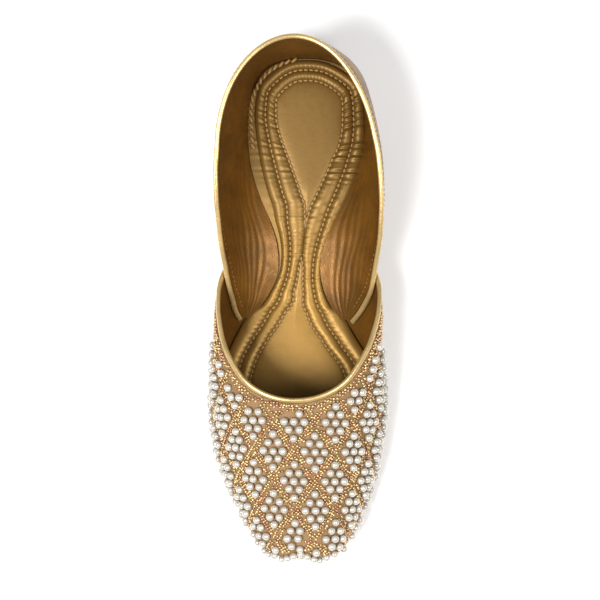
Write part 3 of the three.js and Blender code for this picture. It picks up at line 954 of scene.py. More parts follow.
def edge_steps(side, top, height):
    """Steps of s and v per millimetre, square to an edge and beyond it, in the last's surface."""
    point = last_point(side, top, height)
    along_edge = np.gradient(point, axis=0)
    along_s = (last_point(side, top + NUDGE, height) - last_point(side, top - NUDGE, height)) / (2 * NUDGE)
    along_v = (point - last_point(side, top, height - NUDGE)) / NUDGE
    beyond = unit(np.cross(along_edge, last_normal(side, top, height)))
    ss, sv, vv = ((a * b).sum(-1) for a, b in ((along_s, along_s), (along_s, along_v), (along_v, along_v)))
    bs, bv = (beyond * along_s).sum(-1), (beyond * along_v).sum(-1)
    spread = ss * vv - sv * sv
    return (bs * vv - bv * sv) / spread, (bv * ss - bs * sv) / spread


def open_edge(columns):
    """The columns along a piece's open top edge."""
    side, _, top, height = columns
    keep = height < 1
    keep[np.flatnonzero(height == 1)[:1]] = True
    return side[keep], top[keep], height[keep]


def build_roll(mesh, columns, inner, outer, tall, sides=14):
    """A rolled binding on a wall's top edge."""
    side, top, height = open_edge(columns)
    step_s, step_v = edge_steps(side, top, height)
    turn = np.linspace(0, 2 * np.pi, sides, endpoint=False)
    up = 0.5 + 0.5 * np.sign(np.sin(turn)) * np.abs(np.sin(turn)) ** 0.8
    out = 0.5 * np.sign(np.cos(turn)) * np.abs(np.cos(turn)) ** 0.6
    reach = PIECE_GAP * 0.3 + up[None, :] * tall
    offset = (inner + outer) / 2 + out[None, :] * (outer - inner) + 0 * reach
    s = top[:, None] + step_s[:, None] * reach
    v = height[:, None] + step_v[:, None] * reach
    side = np.broadcast_to(side[:, None], s.shape)
    numbers = mesh.points(on_last(side, s, v, np.broadcast_to(offset, s.shape)))
    mesh.grid(np.concatenate([numbers, numbers[:, :1]], 1), flip=True)
    for ring, flip in ((numbers[0], True), (numbers[-1], False)):
        half = sides // 2
        for k in range(half - 1):
            corners = [ring[k], ring[k + 1], ring[sides - 2 - k], ring[(sides - 1 - k) % sides]]
            if flip:
                corners.reverse()
            mesh.quads(*[np.array([c]) for c in corners])


def stitch_row(mesh, points, normals, pitch, length, width, height, tint=0.0, seed=1):
    """Stitches laid along a line of points, each a small rounded bar on the surface."""
    lengths = walked(points)
    at = np.arange(pitch / 2, lengths[-1], pitch)
    centres = sampled(at, lengths, points)
    normal = unit(sampled(at, lengths, normals))
    along = unit(sampled(at + 0.5, lengths, points) - sampled(at - 0.5, lengths, points))
    across = unit(np.cross(normal, along))
    jitter = np.random.default_rng(seed).uniform(-0.08, 0.08, len(at))[:, None]
    along = unit(along + across * jitter)
    axes = np.stack([along * length / 2, across * width / 2, normal * height / 2], 1)
    mesh.copies(ball(8, 5), centres, axes, np.full(len(at), tint))


# The moulded channel near the edge of the sole and the heel, in millimetres in from the edge.
CHANNEL = {"from": 3.7, "to": 6.1, "depth": 0.55}
LOZENGE = {"from": 4.3, "to": 5.5, "rise": 0.45, "pitch": 5.7}
CHANNEL_LEVELS = np.array([1.4, 2.6, 3.3, 3.5, 3.7, 3.95, 4.15, 4.4, 4.9, 5.4, 5.65, 5.85, 6.1, 6.3, 6.6])
FIELD_FROM = 6.3
FIELD_TO = 6.6


def channel_arc(side, s):
    """Distance along the outline, stretched a little to hold a whole number of lozenges on each side."""
    count = round(SIDES[side][2] / LOZENGE["pitch"])
    return np.asarray(s) * count * LOZENGE["pitch"]


def channel_scale(s):
    """The channel runs closer to the edge at the toe."""
    return 1 - 0.4 * ease(between(along_of(station_x(s)), 74, 93))


def channel_depth(inset, arc):
    """Depth of the channel, less the raised lozenges in it that look like stitches."""
    length = ease(between(np.cos(2 * np.pi * arc / LOZENGE["pitch"]), -0.95, -0.7))
    lozenge = length * window(inset, LOZENGE["from"], LOZENGE["to"], 0.25)
    return CHANNEL["depth"] * window(inset, CHANNEL["from"], CHANNEL["to"], 0.25) - LOZENGE["rise"] * lozenge


def moulded(mesh, s, rim, base, carved, columns, breast=None):
    """A closed plate on the sole's outline, carved from below between the channels of its two sides.

    rim holds distances in from the edge and rises above base, from the top down."""

    def under(place, inset, arc):
        height = base(place[..., 0]) + carved(place[..., 0], place[..., 1], inset, arc)
        return np.concatenate([place, height[..., None]], -1)

    lines = {}
    for side in (LATERAL, MEDIAL):
        scale = channel_scale(s)[:, None]
        place, _, inset = plan_grid(side, s, CHANNEL_LEVELS * scale)
        walls = []
        for distance, rise in rim:
            edge, _, _ = plan_grid(side, s, np.full((1, 1), distance))
            walls.append(np.concatenate([edge, (base(edge[..., 0]) + rise)[..., None]], -1))
        arc = np.broadcast_to(channel_arc(side, s)[:, None], inset.shape)
        lines[side] = np.concatenate([*walls, under(place, inset / scale, arc)], 1)
    share = np.linspace(0, 1, columns + 2)[1:-1, None]
    near, far = (lines[side][:, -1:, :2] for side in (LATERAL, MEDIAL))
    chord = near + (far - near) * share
    field = under(chord, np.full(chord.shape[:2], FIELD_TO), np.zeros(chord.shape[:2]))
    end = spine(s)
    top = np.concatenate([end, (base(end[:, 0]) + rim[0][1])[:, None]], 1)[:, None]
    rows = np.concatenate([top, lines[LATERAL], field, lines[MEDIAL][:, ::-1], top], 1)
    # Painted shade: tint grows with how deep a place is carved, so the channel and grooves come out darker.
    tint = np.zeros(rows.shape[:2])
    carved_columns = slice(len(rim) + 1, -len(rim) - 1)
    tint[:, carved_columns] = (rows[..., 2] - base(rows[..., 0]))[:, carved_columns] / CHANNEL["depth"]
    if breast:
        rows[..., 0] = np.minimum(rows[..., 0], breast)
        rows[-1, :, 0] = breast
        centre = (rows[-1].min(0) + rows[-1].max(0)) / 2
        rows = np.concatenate([rows, np.broadcast_to(centre, rows[-1:].shape)])
        tint = np.concatenate([tint, tint[-1:]])
    mesh.grid(mesh.points(rows, np.clip(tint, 0, 1)), flip=True)


class SHOE_OT_outsole(bpy.types.Operator):
    """Build the moulded outsole with its channel and wavy tread"""

    bl_idname = "shoe.outsole"
    bl_label = "Outsole"

    RIM = ((1.2, 4.2), (0.6, 4.1), (0.2, 3.7), (0.05, 2.9), (0.0, 2.0), (0.25, 1.1), (0.7, 0.35))
    TREAD = {"from": 142, "depth": 0.6, "sway": 1.1, "wave": 15.5}
    RING = {"x": 136, "y": 12, "radius": 4.5, "depth": 0.35}

    def execute(self, context):
        mesh = Mesh()
        moulded(mesh, np.linspace(0, 1, 661), self.RIM, sole_under, self.carved, 72)
        material = rubber("sole_rubber", colour("rubber"), colour("rubber", 0.82))
        mesh.piece("sole_unit", [material], "outsole", "sole")
        return {"FINISHED"}

    def carved(self, x, y, inset, arc):
        """Depth of the channel, the wavy tread and the ring. The sole is plain above the heel."""
        swayed = x + self.TREAD["sway"] * np.sin(2 * np.pi * y / self.TREAD["wave"])
        ridges = np.clip(1.4 * np.sin(2 * np.pi * swayed / sizes().tread_pitch), -1, 1)
        field = ease(between(x, self.TREAD["from"], self.TREAD["from"] + 0.8))
        field = field * ease(between(inset, FIELD_FROM, FIELD_TO))
        ring = np.abs(np.hypot(x - self.RING["x"], y - self.RING["y"]) - self.RING["radius"])
        depth = channel_depth(inset, arc) + field * self.TREAD["depth"] * (0.5 + 0.5 * ridges)
        depth = depth + self.RING["depth"] * bump(ring, 0, 0.55)
        return np.where(x < percent(HEEL_BREAST, SOLE_LENGTH), 0, depth)


class SHOE_OT_heel(bpy.types.Operator):
    """Build the low heel block with its ribs and channel"""

    bl_idname = "shoe.heel"
    bl_label = "Heel"

    RIM = ((1.0, 7.7), (0.5, 7.3), (0.25, 6.6), (0.25, 3.5), (0.3, 1.0), (0.55, 0.35))
    BREAST = percent(HEEL_BREAST, SOLE_LENGTH) - 0.3
    RIB_DEPTH = 0.5

    def execute(self, context):
        mesh = Mesh()
        s = np.linspace(0, station_at(self.BREAST), 261)
        moulded(mesh, s, self.RIM, np.zeros_like, self.carved, 40, self.BREAST)
        material = rubber("heel_rubber", colour("rubber", 1.05), colour("rubber", 0.85))
        mesh.piece("heel_block", [material], "heel", "sole")
        return {"FINISHED"}

    def carved(self, x, y, inset, arc):
        """Depth of the channel and the straight ribs, which end at the breast."""
        ribs = np.clip(1.5 * np.sin(2 * np.pi * x / sizes().heel_rib_pitch), -1, 1)
        field = self.RIB_DEPTH * (0.5 + 0.5 * ribs) * ease(between(inset, FIELD_FROM, FIELD_TO))
        behind_breast = 1 - ease(between(x, self.BREAST - 1.4, self.BREAST - 0.7))
        return (channel_depth(inset, arc) + field) * behind_breast


# The insole spreads as far as the vamp in front of the quarter: percent of the sole's length, and then the
# reach in millimetres.
INSOLE_SPREAD_FROM = 54
INSOLE_SPREAD_TO = 62
INSOLE_SPREAD_REACH = 0.4


def insole_edge(s):
    """How far the insole's edge lies in from the sole's outline."""
    along = along_of(station_x(s))
    out = percent(last_column["low_out"](along), HALF_WIDTH)
    up = percent(last_column["low_up"](along), COLLAR_HEIGHT)
    spread = ease(between(along, INSOLE_SPREAD_FROM, INSOLE_SPREAD_TO))
    wall_inside = QUARTER_WALL - (QUARTER_WALL + INSOLE_SPREAD_REACH) * spread
    return feather_inset(along) + wall_inside * up / np.hypot(out, up) + PIECE_GAP


# The two seams of the insole: distances in from the outer roll, in millimetres. They cross at the waist.
INSOLE_SEAMS = table(
    "along outer inner",
    (0, 5.0, 10.2),
    (13, 5.6, 11.3),
    (24, 7.0, 14.8),
    (29, 6.9, 15.2),
    (32, 6.2, 14.4),
    (34, 5.6, 13.8),
    (37, 4.8, 11.8),
    (40, 4.4, 10.6),
    (43, 4.2, 9.0),
    (47, 4.6, 9.6),
    (51, 5.6, 11.6),
    (56, 6.5, 13.0),
    (61, 6.8, 13.6),
    (100, 6.8, 13.6),
)
outer_seam = smooth(INSOLE_SEAMS, "outer")
inner_seam = smooth(INSOLE_SEAMS, "inner")


# How far the insole lies to the medial side of the sole's plan, in millimetres.
INSOLE_PLAN = table(
    "along medial",
    (0, 0.3),
    (12, 0.8),
    (24, 3.0),
    (32, 2.6),
    (40, 1.2),
    (48, 0),
    (100, 0),
)
insole_medial = smooth(INSOLE_PLAN, "medial")
# Heights on the insole in millimetres: its edge, what its rolls and its middle add to that, how far a stitch
# pulls down, where along the sole the seams end, and the puckers beside them.
INSOLE_EDGE = INSOLE_FLAT - 0.35
ROLL = {"outer": 1.9, "middle": 1.45, "centre": 0.6}
STITCH_PULL = 0.34
SEAM_FADE = (222, 230)
PUCKER = 0.26
# The insole's brim ends this far inside the foot of the wall. Percent of the sole's length where it has one.
BRIM_CLEAR = 0.8
BRIM_SPAN = (10, 44, 4)
LIFT_SPAN = (18, 44, 4)


def wall_foot(x, y):
    """The height of the last's wall over places in plan, and how far outside the feather line they lie."""
    s = station_at(x)
    along = along_of(x)
    middle = percent(swing_at(along), HALF_WIDTH)
    side = np.where(y > middle, MEDIAL, LATERAL)
    half = np.abs(outline(side, s)[0][..., 1] - middle) - feather_inset(along)
    out = np.abs(y - middle) - half
    low_out, heights = rib_heights(along, x)
    handle = np.interp(s, STATION_SHARES, HIGH_HANDLES[MEDIAL])
    v = 0.3 * bisect(lambda share: cubic(0, low_out, handle, -half, 0.3 * share) < out, out.shape)
    return cubic(*heights, v), out


def insole_points(plan, height, lowest=INSOLE_EDGE, clear=0.5):
    """Points of the insole above places of the sole's plan. Beyond the feather line it rides up the wall.

    lowest is the height of the insole's skin that has to clear the wall, and clear by how much."""
    x = plan[..., 0]
    y = plan[..., 1] + insole_medial(along_of(x))
    bed = sole_top(x) + PIECE_GAP
    wall, out = wall_foot(x, y)
    lift = np.maximum(wall + clear - bed - lowest, 0) * ease(between(out, -3, 0))
    lift = lift * window(along_of(x), *LIFT_SPAN)
    return np.stack([x, y, bed + height + lift], -1)


def to_wall(points, share=1.0):
    """Edge points of the insole, moved out as far as the wall's foot where its roll lies inside that."""
    x, y, z = (points[..., k] for k in range(3))
    _, out = wall_foot(x, y)
    way = np.sign(y - percent(swing_at(along_of(x)), HALF_WIDTH))
    gap = np.maximum(-BRIM_CLEAR - out, 0) * window(along_of(x), *BRIM_SPAN)
    return np.stack([x, y + share * way * gap, z], -1)


def insole_flange(side, edge_x):
    """How far the outer roll lies inside the insole's edge, at the heel's corners and on its lateral side."""
    detail = sizes()
    lateral = detail.lateral_flange * (side == LATERAL) * window(edge_x, 10, 74, 10)
    return detail.corner_flange * bump(edge_x, 5, 5) + lateral


def insole_seams(side, edge_x):
    """The two seams' distances from the insole's edge."""
    flange = insole_flange(side, edge_x)
    along = along_of(edge_x)
    return flange + outer_seam(along), flange + inner_seam(along)


def insole_surface(side, edge_x, x, inset, arc):
    """Height of the padded insole above the sole at a distance in from its edge, and how deep in a seam it
    lies, which sets its painted shade.
    """
    detail = sizes()
    row_1, row_2 = insole_seams(side, edge_x)
    flange = insole_flange(side, edge_x)
    outer = np.sin(np.pi * np.clip((inset - flange) / (row_1 - flange), 0, 1)) ** 0.7
    middle = np.sin(np.pi * np.clip((inset - row_1) / (row_2 - row_1), 0, 1)) ** 0.75
    centre = 1 - np.exp(-np.maximum(inset - row_2, 0) / 2.2)
    height = INSOLE_EDGE + ROLL["outer"] * outer + ROLL["middle"] * middle + ROLL["centre"] * centre
    pull = (0.5 + 0.5 * np.cos(2 * np.pi * arc / detail.stitch_pitch)) * (1 - ease(between(x, *SEAM_FADE)))
    for row in (row_1, row_2):
        reach = np.where(inset < row, 1.5, 0.5)
        height = height - STITCH_PULL * pull * bump(inset, row, reach)
    wander = arc + 1.6 * np.sin(arc / 6.1) + 0.9 * np.sin(arc / 2.7 + 1.0)
    pucker = np.sin(2 * np.pi * wander / 4.6) + 0.5 * np.sin(2 * np.pi * wander / 2.9 + 0.8)
    heel_side = window(x, 22, 58, 9) * (1.0 if side == MEDIAL else 0.35)
    waist = 0.3 * window(x, 74, 112, 9)
    height = height + PUCKER * pucker * (heel_side + waist) * window(inset, 1.2, row_2 - 1.4, 1.4)
    # Painted shade: dark in the two seams and at the roll's outer edge, less so on the lateral brim, and
    # where the roll meets the flange.
    brim = window(edge_x, 12, 96, 8) * (side == LATERAL)
    depth = bump(inset, row_1, 0.75) + bump(inset, row_2, 0.75) + 0.9 * bump(inset, 0, 0.8) * (1 - brim)
    depth = depth + 0.5 * bump(inset, flange, 0.6) * between(flange, 0, 1)
    return height, np.clip(depth, 0, 1)


class SHOE_OT_insole(bpy.types.Operator):
    """Build the padded insole with its sewn rolls"""

    bl_idname = "shoe.insole"
    bl_label = "Insole"

    STATIONS = 560
    # Millimetres: distances in from the edge and heights of the rim, and distances in of the rows underneath.
    RIM = ((0.02, 2.5), (0.0, 1.3), (0.6, 0.0))
    BENEATH = (1.6, 3.0, 5.0, 8.0, 13.0)
    SWELL = 0.75
    WIDEST_SWELL = 3.6
    SWELL_SPAN = (52, 90, 2)
    # Painted shade on the flat brim at the insole's edge, given as tint.
    BRIM_PAINTED_SHADE = 0.15
    BAR_PLACE = 99.0
    BAR_HALF = 4.5
    BAR_POINTS = 20
    WHIP = {"start": 1.5, "pitch": 3.3, "height": 3.3, "to": 50}

    def execute(self, context):
        mesh = Mesh()
        seams = Mesh()
        s = np.linspace(0, 1, self.STATIONS + 1)
        base = insole_edge(s)[:, None]
        for side in (MEDIAL, LATERAL):
            self.half(mesh, side, s, base)
            self.seams(seams, side, s, base)
        self.bar(seams)
        self.whip(seams, s, base)
        # The insole's shade colour, at 0.3 of its own, is painted shade for its seams, edge and rim.
        material = quilted("insole_leather", colour("insole"), colour("insole", 0.3))
        pad = mesh.piece("padded_insole", [material], "insole", "insole")
        sewing = thread("insole_thread", colour("thread"), colour("thread", 0.6))
        seams.piece("insole_stitches", [sewing], slot="insole", weld=False)
        return {"FINISHED"}

    @staticmethod
    def middle(s, base):
        """Height and seam depth on the spine, where the two sides meet: the mean of what they give. The seam
        depth sets the painted shade.
        """
        found = []
        for side in (MEDIAL, LATERAL):
            start, end, _ = plan_grid(side, s, base)
            inset = np.linalg.norm(end - start, axis=-1)
            edge_x = outline(side, s)[0][:, :1]
            found.append(insole_surface(side, edge_x, end[..., 0], inset, arc_mm(side, s)[:, None]))
        return np.mean(found, 0)

    def half(self, mesh, side, s, base):
        """One side of the insole, from the spine over its top and edge to the spine underneath."""
        edge_x = outline(side, s)[0][:, :1]
        row_1, row_2 = insole_seams(side, edge_x)
        flange = insole_flange(side, edge_x)
        brim = flange * np.array([0.2, 0.6, 1.0])
        first = flange + (row_1 - flange) * np.array([0.04, 0.1, 0.2, 0.33, 0.5, 0.66, 0.8, 0.9, 1.0])
        second = row_1 + (row_2 - row_1) * np.array([0.1, 0.2, 0.34, 0.5, 0.66, 0.8, 0.9, 1.0])
        flat = row_2 + np.array([0.5, 1.2, 2.2, 4, 7, 11, 16, 22])
        levels = np.concatenate([brim, first, second, flat], 1)
        place, end, inset = plan_grid(side, s, base + levels)
        inset = inset - base
        arc = arc_mm(side, s)[:, None] + 0 * inset
        x = place[..., 0]
        height, depth = insole_surface(side, edge_x, x, inset, arc)
        # Over the flared foot of the vamp the outer roll swells as far as the wall.
        along = along_of(station_x(s))[:, None]
        low_out, (foot, low_z, _, _) = rib_heights(along, edge_x)
        lean = low_out / (low_z - foot)
        swell = np.minimum(self.SWELL * lean * height, self.WIDEST_SWELL) * window(along, *self.SWELL_SPAN)
        _, _, way, _, _ = rib(side, s[:, None], base)
        place = place - way * (swell * (1 - np.clip(inset / row_1, 0, 1)))[..., None]
        upper = insole_points(place, height)
        end_height, end_painted_shade = self.middle(s, base)
        rows = [insole_points(end, end_height), upper[:, ::-1], to_wall(upper[:, :1])]
        for rim_inset, rise in self.RIM:
            edge, _, _ = plan_grid(side, s, base + rim_inset)
            rows.append(to_wall(insole_points(edge, rise, rise, 0.2)))
        beneath, _, _ = plan_grid(side, s, base + np.array([self.BENEATH]))
        rows.append(insole_points(beneath, 0.0, 0.0, 0.2))
        rows.append(insole_points(end, 0.0))
        rows = np.concatenate(rows, 1)
        # Tint is painted shade: full on the insole's rim and underside, the seam depth on its top, and a
        # little on the brim.
        tint = np.ones(rows.shape[:2])
        shown = 1 + upper.shape[1]
        tint[:, :shown] = np.concatenate([end_painted_shade, depth[:, ::-1]], 1)
        tint[:, shown] = self.BRIM_PAINTED_SHADE
        mesh.grid(mesh.points(rows, tint), 0, flip=side == LATERAL)

    def seams(self, seams, side, s, base):
        """The two rows of stitches on one side."""
        detail = sizes()
        edge_x = outline(side, s)[0][:, :1]
        for row in insole_seams(side, edge_x):
            line, _, inset = plan_grid(side, s, base + row)
            x = line[:, 0, 0]
            between_pulls = np.full(len(s), detail.stitch_pitch / 2)
            height, _ = insole_surface(side, edge_x[:, 0], x, inset[:, 0] - base[:, 0], between_pulls)
            points = insole_points(line[:, 0], height + 0.2)
            kept = np.flatnonzero((x < SEAM_FADE[0]) & (inset[:, 0] - base[:, 0] > row[:, 0] - 0.4))
            for run in np.split(kept, np.flatnonzero(np.diff(kept) > 1) + 1):
                if len(run) > 4:
                    up = np.broadcast_to(np.array([0.0, 0.0, 1.0]), (len(run), 3))
                    stitch_row(seams, points[run], up, detail.stitch_pitch, 2.25, 1.05, 0.9, 0.1, 3)

    def bar(self, seams):
        """A short sewn bar that closes the waist."""
        middle = float(spine(station_at(np.array([self.BAR_PLACE])))[0, 1])
        y = np.linspace(-self.BAR_HALF, self.BAR_HALF, self.BAR_POINTS) + middle
        points = insole_points(np.stack([np.full_like(y, self.BAR_PLACE), y], 1), INSOLE_FLAT + 0.9)
        up = np.broadcast_to(np.array([0.0, 0.0, 1.0]), points.shape)
        stitch_row(seams, points, up, 2.2, 1.9, 0.8, 0.7, 0.1, 5)

    def whip(self, seams, s, base):
        """Slanted stitches that sew the insole to the lining on the lateral side of the heel."""
        flange = insole_flange(LATERAL, outline(LATERAL, s)[0][:, :1])
        place, _, _ = plan_grid(LATERAL, s, base + 0.3 + 0.5 * flange)
        kept = np.flatnonzero((s > 0.02) & (place[:, 0, 0] < self.WHIP["to"]))
        points = to_wall(insole_points(place[kept, 0], self.WHIP["height"]), 0.5)
        lengths = walked(points)
        at = np.arange(self.WHIP["start"], lengths[-1], self.WHIP["pitch"])
        centres = sampled(at, lengths, points)
        heading = unit(sampled(at + 1, lengths, points) - centres)
        rng = np.random.default_rng(17)
        up = np.array([[0.0, 0.0, 1.0]])
        inward = unit(np.cross(heading, up))
        slant = rng.uniform(0.45, 0.65, len(at))[:, None]
        along = unit(heading - inward * slant)
        across = unit(np.cross(np.broadcast_to(up, along.shape), along))
        axes = np.stack([along * 1.9, across * 0.75, np.cross(along, across) * 0.75], 1)
        seams.copies(ball(8, 6), centres, axes, np.full(len(at), 0.0))


# Folds of the lining near the waist. at, width: shares of the wall's height. depth: millimetres.
# lean: change of at for each percent of the sole's length. start, stop: percent of that length.
LINING_FOLDS = table(
    "at depth width lean start stop",
    (0.16, 0.34, 0.030, 0.004, 28, 46),
    (0.25, 0.46, 0.028, 0.005, 24, 47),
    (0.34, 0.38, 0.024, 0.006, 26, 45),
    (0.43, 0.48, 0.030, 0.006, 22, 46),
    (0.53, 0.34, 0.024, 0.007, 27, 44),
    (0.62, 0.36, 0.026, 0.007, 25, 43),
    (0.71, 0.24, 0.022, 0.006, 28, 42),
)


def lining_folds(side, s, share):
    """Soft lengthwise folds of the lining near the waist and fine puckers under the collar."""
    along = along_of(station_x(s))
    slack = 0 * along
    for at, depth, width, lean, start, stop in zip(*LINING_FOLDS.values()):
        wander = 0.02 * np.sin(along / 2.3 + 9 * at + side)
        place = at + lean * (along - 36) + wander + 0.03 * side * (at - 0.4)
        slack = slack + 0.75 * depth * bump(share, place, width) * window(along, start, stop, 7)
    heel = window(along, 3, 20, 4) * window(share, 0.2, 0.75, 0.2)
    heel_fold = 0.22 * np.sin(along * 0.7 + 4 * share + side) * heel
    collar = window(share, 0.8, 0.93, 0.05) * (0.35 + 0.65 * window(along, 36, 50, 5))
    pucker = 0.16 * np.sin(along * 6.3) * collar
    return slack + heel_fold + pucker


class SHOE_OT_quarter(bpy.types.Operator):
    """Build the quarter with its creased leather and folded lining, and its rolled collar"""

    bl_idname = "shoe.quarter"
    bl_label = "Quarter"

    def execute(self, context):
        detail = sizes()
        columns = columns_of_quarter(110)
        mesh = Mesh()

        def inner(side, s, share):
            return -QUARTER_WALL - 0.25 + lining_folds(side, s, share)

        def outer(side, s, share):
            along = along_of(station_x(s))
            crease = np.sin(2 * np.pi * (3.1 * share + 0.22 * along / 3)) * window(along, 28, 44, 6)
            dent = bump(along, 14, 5) * np.sin(np.pi * share) * 0.35
            return -0.12 + 0.16 * crease * window(share, 0.15, 0.85, 0.15) - dent

        build_wall(mesh, columns, 44, inner, outer)
        outside = leather("quarter_leather", colour("leather"), colour("leather", 0.6), 0.36, 0.6)
        inside = leather("lining_leather", colour("lining"), colour("lining", 0.62), 0.42, 0.45)
        mesh.piece("quarter_wall", [outside, inside], "quarter", "quarter")
        roll = Mesh()
        build_roll(roll, columns, -QUARTER_WALL - 0.5, PIECE_GAP, 2.6)
        bound = leather("collar_leather", colour("binding"), colour("binding", 0.7), 0.26, 0.5, 0.6)
        roll.piece("collar_roll", [bound], "quarter_binding", "binding")
        seams = Mesh()
        side, top, height = open_edge(columns)
        step_s, step_v = edge_steps(side, top, height)
        for depth, offset, tint in ((2.6, -QUARTER_WALL - 0.2, 0.5), (2.2, -0.02, 0.2)):
            s, v = top - step_s * depth, height - step_v * depth
            points = on_last(side, s, v, np.full(len(s), offset))
            normals = last_normal(side, s, v) * np.sign(offset + 0.5)
            stitch_row(seams, points[3:-3], normals[3:-3], detail.stitch_pitch, 1.7, 0.5, 0.4, tint, 7)
        sewing = thread("collar_thread", colour("thread", 0.8), colour("thread", 0.45))
        seams.piece("collar_stitches", [sewing], slot="quarter", weld=False)
        return {"FINISHED"}


# Lowest height of the beads on the side of the vamp, in millimetres above the floor.
BEAD_LINE = table(
    "along height",
    (40, 26),
    (46, 24),
    (51, 20.5),
    (56, 16),
    (60, 11),
    (64, 4),
    (101, 0),
)
bead_line = smooth(BEAD_LINE, "height")


def beads_cover(points):
    """1 where beads cover the vamp, and 0 on the plain leather low at its sides."""
    line = bead_line(along_of(points[..., 0]))
    return ease(between(points[..., 2], line - 1.5, line + 1.5))


class SHOE_OT_vamp(bpy.types.Operator):
    """Build the vamp and its rolled throat"""

    bl_idname = "shoe.vamp"
    bl_label = "Vamp"

    def execute(self, context):
        detail = sizes()
        columns = columns_of_vamp(84, 70)
        mesh = Mesh()

        def inner(side, s, share):
            along = along_of(station_x(s))
            return VAMP_INNER + 0.12 * np.sin(along * 1.7 + 5 * share) * window(share, 0.15, 0.9, 0.1)

        def outer(side, s, share):
            along = along_of(station_x(s))
            waist = window(along, 36, 60, 5) * window(share, 0.05, 0.5, 0.08)
            return VAMP_OUTER + 0.12 * np.sin(along * 2.3 + 4 * share) * waist

        build_wall(mesh, columns, 44, inner, outer, beads_cover)
        outside = beaded_cloth("beaded_cloth", colour("cloth"), colour("leather", 1.1))
        inside = leather("vamp_lining", colour("lining"), colour("lining", 0.62), 0.42, 0.45)
        mesh.piece("vamp_wall", [outside, inside], "vamp", "vamp")
        roll = Mesh()
        build_roll(roll, columns, VAMP_INNER, VAMP_OUTER + 0.5, 2.6)
        bound = leather("throat_leather", colour("binding", 0.95), colour("binding", 0.65), 0.3, 0.6, 0.6)
        roll.piece("throat_roll", [bound], "vamp_binding", "binding")
        seams = Mesh()
        side, top, height = open_edge(columns)
        step_s, step_v = edge_steps(side, top, height)
        depth = 1.6
        s, v = top - step_s * depth, height - step_v * depth
        points = on_last(side, s, v, np.full(len(s), VAMP_OUTER + 0.05))
        normals = last_normal(side, s, v)
        stitch_row(seams, points[2:-2], normals[2:-2], detail.stitch_pitch, 1.7, 0.5, 0.45, 0.8, 11)
        sewing = thread("throat_thread", colour("thread", 0.5), colour("thread", 0.25))
        seams.piece("throat_stitches", [sewing], slot="vamp", weld=False)
        return {"FINISHED"}


class BeadField:
    """Places on the vamp by distance along its middle and girth from it, in millimetres."""

    def __init__(self):
        rear = station_at(percent(VAMP_REAR + 1, SOLE_LENGTH))
        v = np.linspace(1, 0, 161)
        s = np.linspace(rear, 1, 361)
        crest_s = np.linspace(station_at(percent(THROAT, SOLE_LENGTH)), 1, 200)
        crest = on_last(MEDIAL, crest_s, np.ones_like(crest_s), np.full_like(crest_s, VAMP_OUTER))
        front_v = np.linspace(1, 0, 120)[1:]
        front = on_last(MEDIAL, np.ones_like(front_v), front_v, np.full_like(front_v, VAMP_OUTER))
        top = crest[:-20]
        self.level = (top[-1, 0] - top[0, 0]) / walked(top)[-1]
        self.places = np.linspace(percent(VAMP_REAR, SOLE_LENGTH) + 4, front[:, 0].max() - 1.5, 260)
        self.girths = np.linspace(0, 75, 301)
        self.maps = {}
        for side in (MEDIAL, LATERAL):
            sheet = on_last(side, s[:, None], v[None, :], np.full((len(s), len(v)), VAMP_OUTER))
            rows = np.maximum.accumulate(sheet[..., 0], axis=0)
            maps = np.full((len(self.places), len(self.girths), 2), np.nan)
            for i, x0 in enumerate(self.places):
                good = (rows[-1] >= x0) & (rows[0] <= x0)
                at = np.array([np.interp(x0, rows[:, j], s) if good[j] else np.nan for j in range(len(v))])
                picks = np.flatnonzero(good)
                if len(picks) < 4:
                    continue
                points = on_last(side, at[picks], v[picks], np.full(len(picks), VAMP_OUTER))
                start = abs(points[0, 1] - percent(swing_at(along_of(x0)), HALF_WIDTH))
                arc = start + walked(points)
                inside = (self.girths <= arc[-1]) & (self.girths >= arc[0] - 1.5)
                maps[i, inside, 0] = np.interp(self.girths[inside], arc, at[picks])
                maps[i, inside, 1] = np.interp(self.girths[inside], arc, v[picks])
            self.maps[side] = maps

    def x_of(self, along):
        """The plan place of a distance along the vamp's even slope, from the throat."""
        return percent(THROAT, SOLE_LENGTH) + np.where(along < 0, 1, self.level) * along

    def surface(self, along, girth):
        """(side, s, v, good) for distances along and girths, girth positive on the medial side."""
        side = np.where(girth >= 0, MEDIAL, LATERAL)
        x = self.x_of(along)
        i = np.clip(np.searchsorted(self.places, x), 1, len(self.places) - 1)
        f = np.clip((x - self.places[i - 1]) / (self.places[i] - self.places[i - 1]), 0, 1)
        k = np.clip(np.abs(girth) / self.girths[1], 0, len(self.girths) - 1.001)
        j = k.astype(int)
        g = k - j
        found = np.full((len(x), 2), np.nan)
        for way in (MEDIAL, LATERAL):
            maps = self.maps[way]
            value = maps[i - 1, j] * ((1 - f) * (1 - g))[:, None] + maps[i, j] * (f * (1 - g))[:, None]
            value = value + maps[i - 1, j + 1] * ((1 - f) * g)[:, None] + maps[i, j + 1] * (f * g)[:, None]
            found = np.where((side == way)[:, None], value, found)
        good = np.isfinite(found).all(1) & (x <= self.places[-1])
        return side, np.nan_to_num(found[:, 0], nan=0.5), np.nan_to_num(found[:, 1], nan=0.5), good


def bead_axes(normals, across, along, out, rng):
    """Three scaled axes for beads that sit on a surface, each turned at random about its normal."""
    helper = np.where(np.abs(normals[:, :1]) < 0.8, [[1.0, 0, 0]], [[0, 1.0, 0]])
    first = unit(np.cross(normals, helper))
    second = np.cross(normals, first)
    turn = rng.uniform(0, 2 * np.pi, len(normals))[:, None]
    a = first * np.cos(turn) + second * np.sin(turn)
    b = second * np.cos(turn) - first * np.sin(turn)
    return np.stack([a * across, b * along, normals * out], 1)


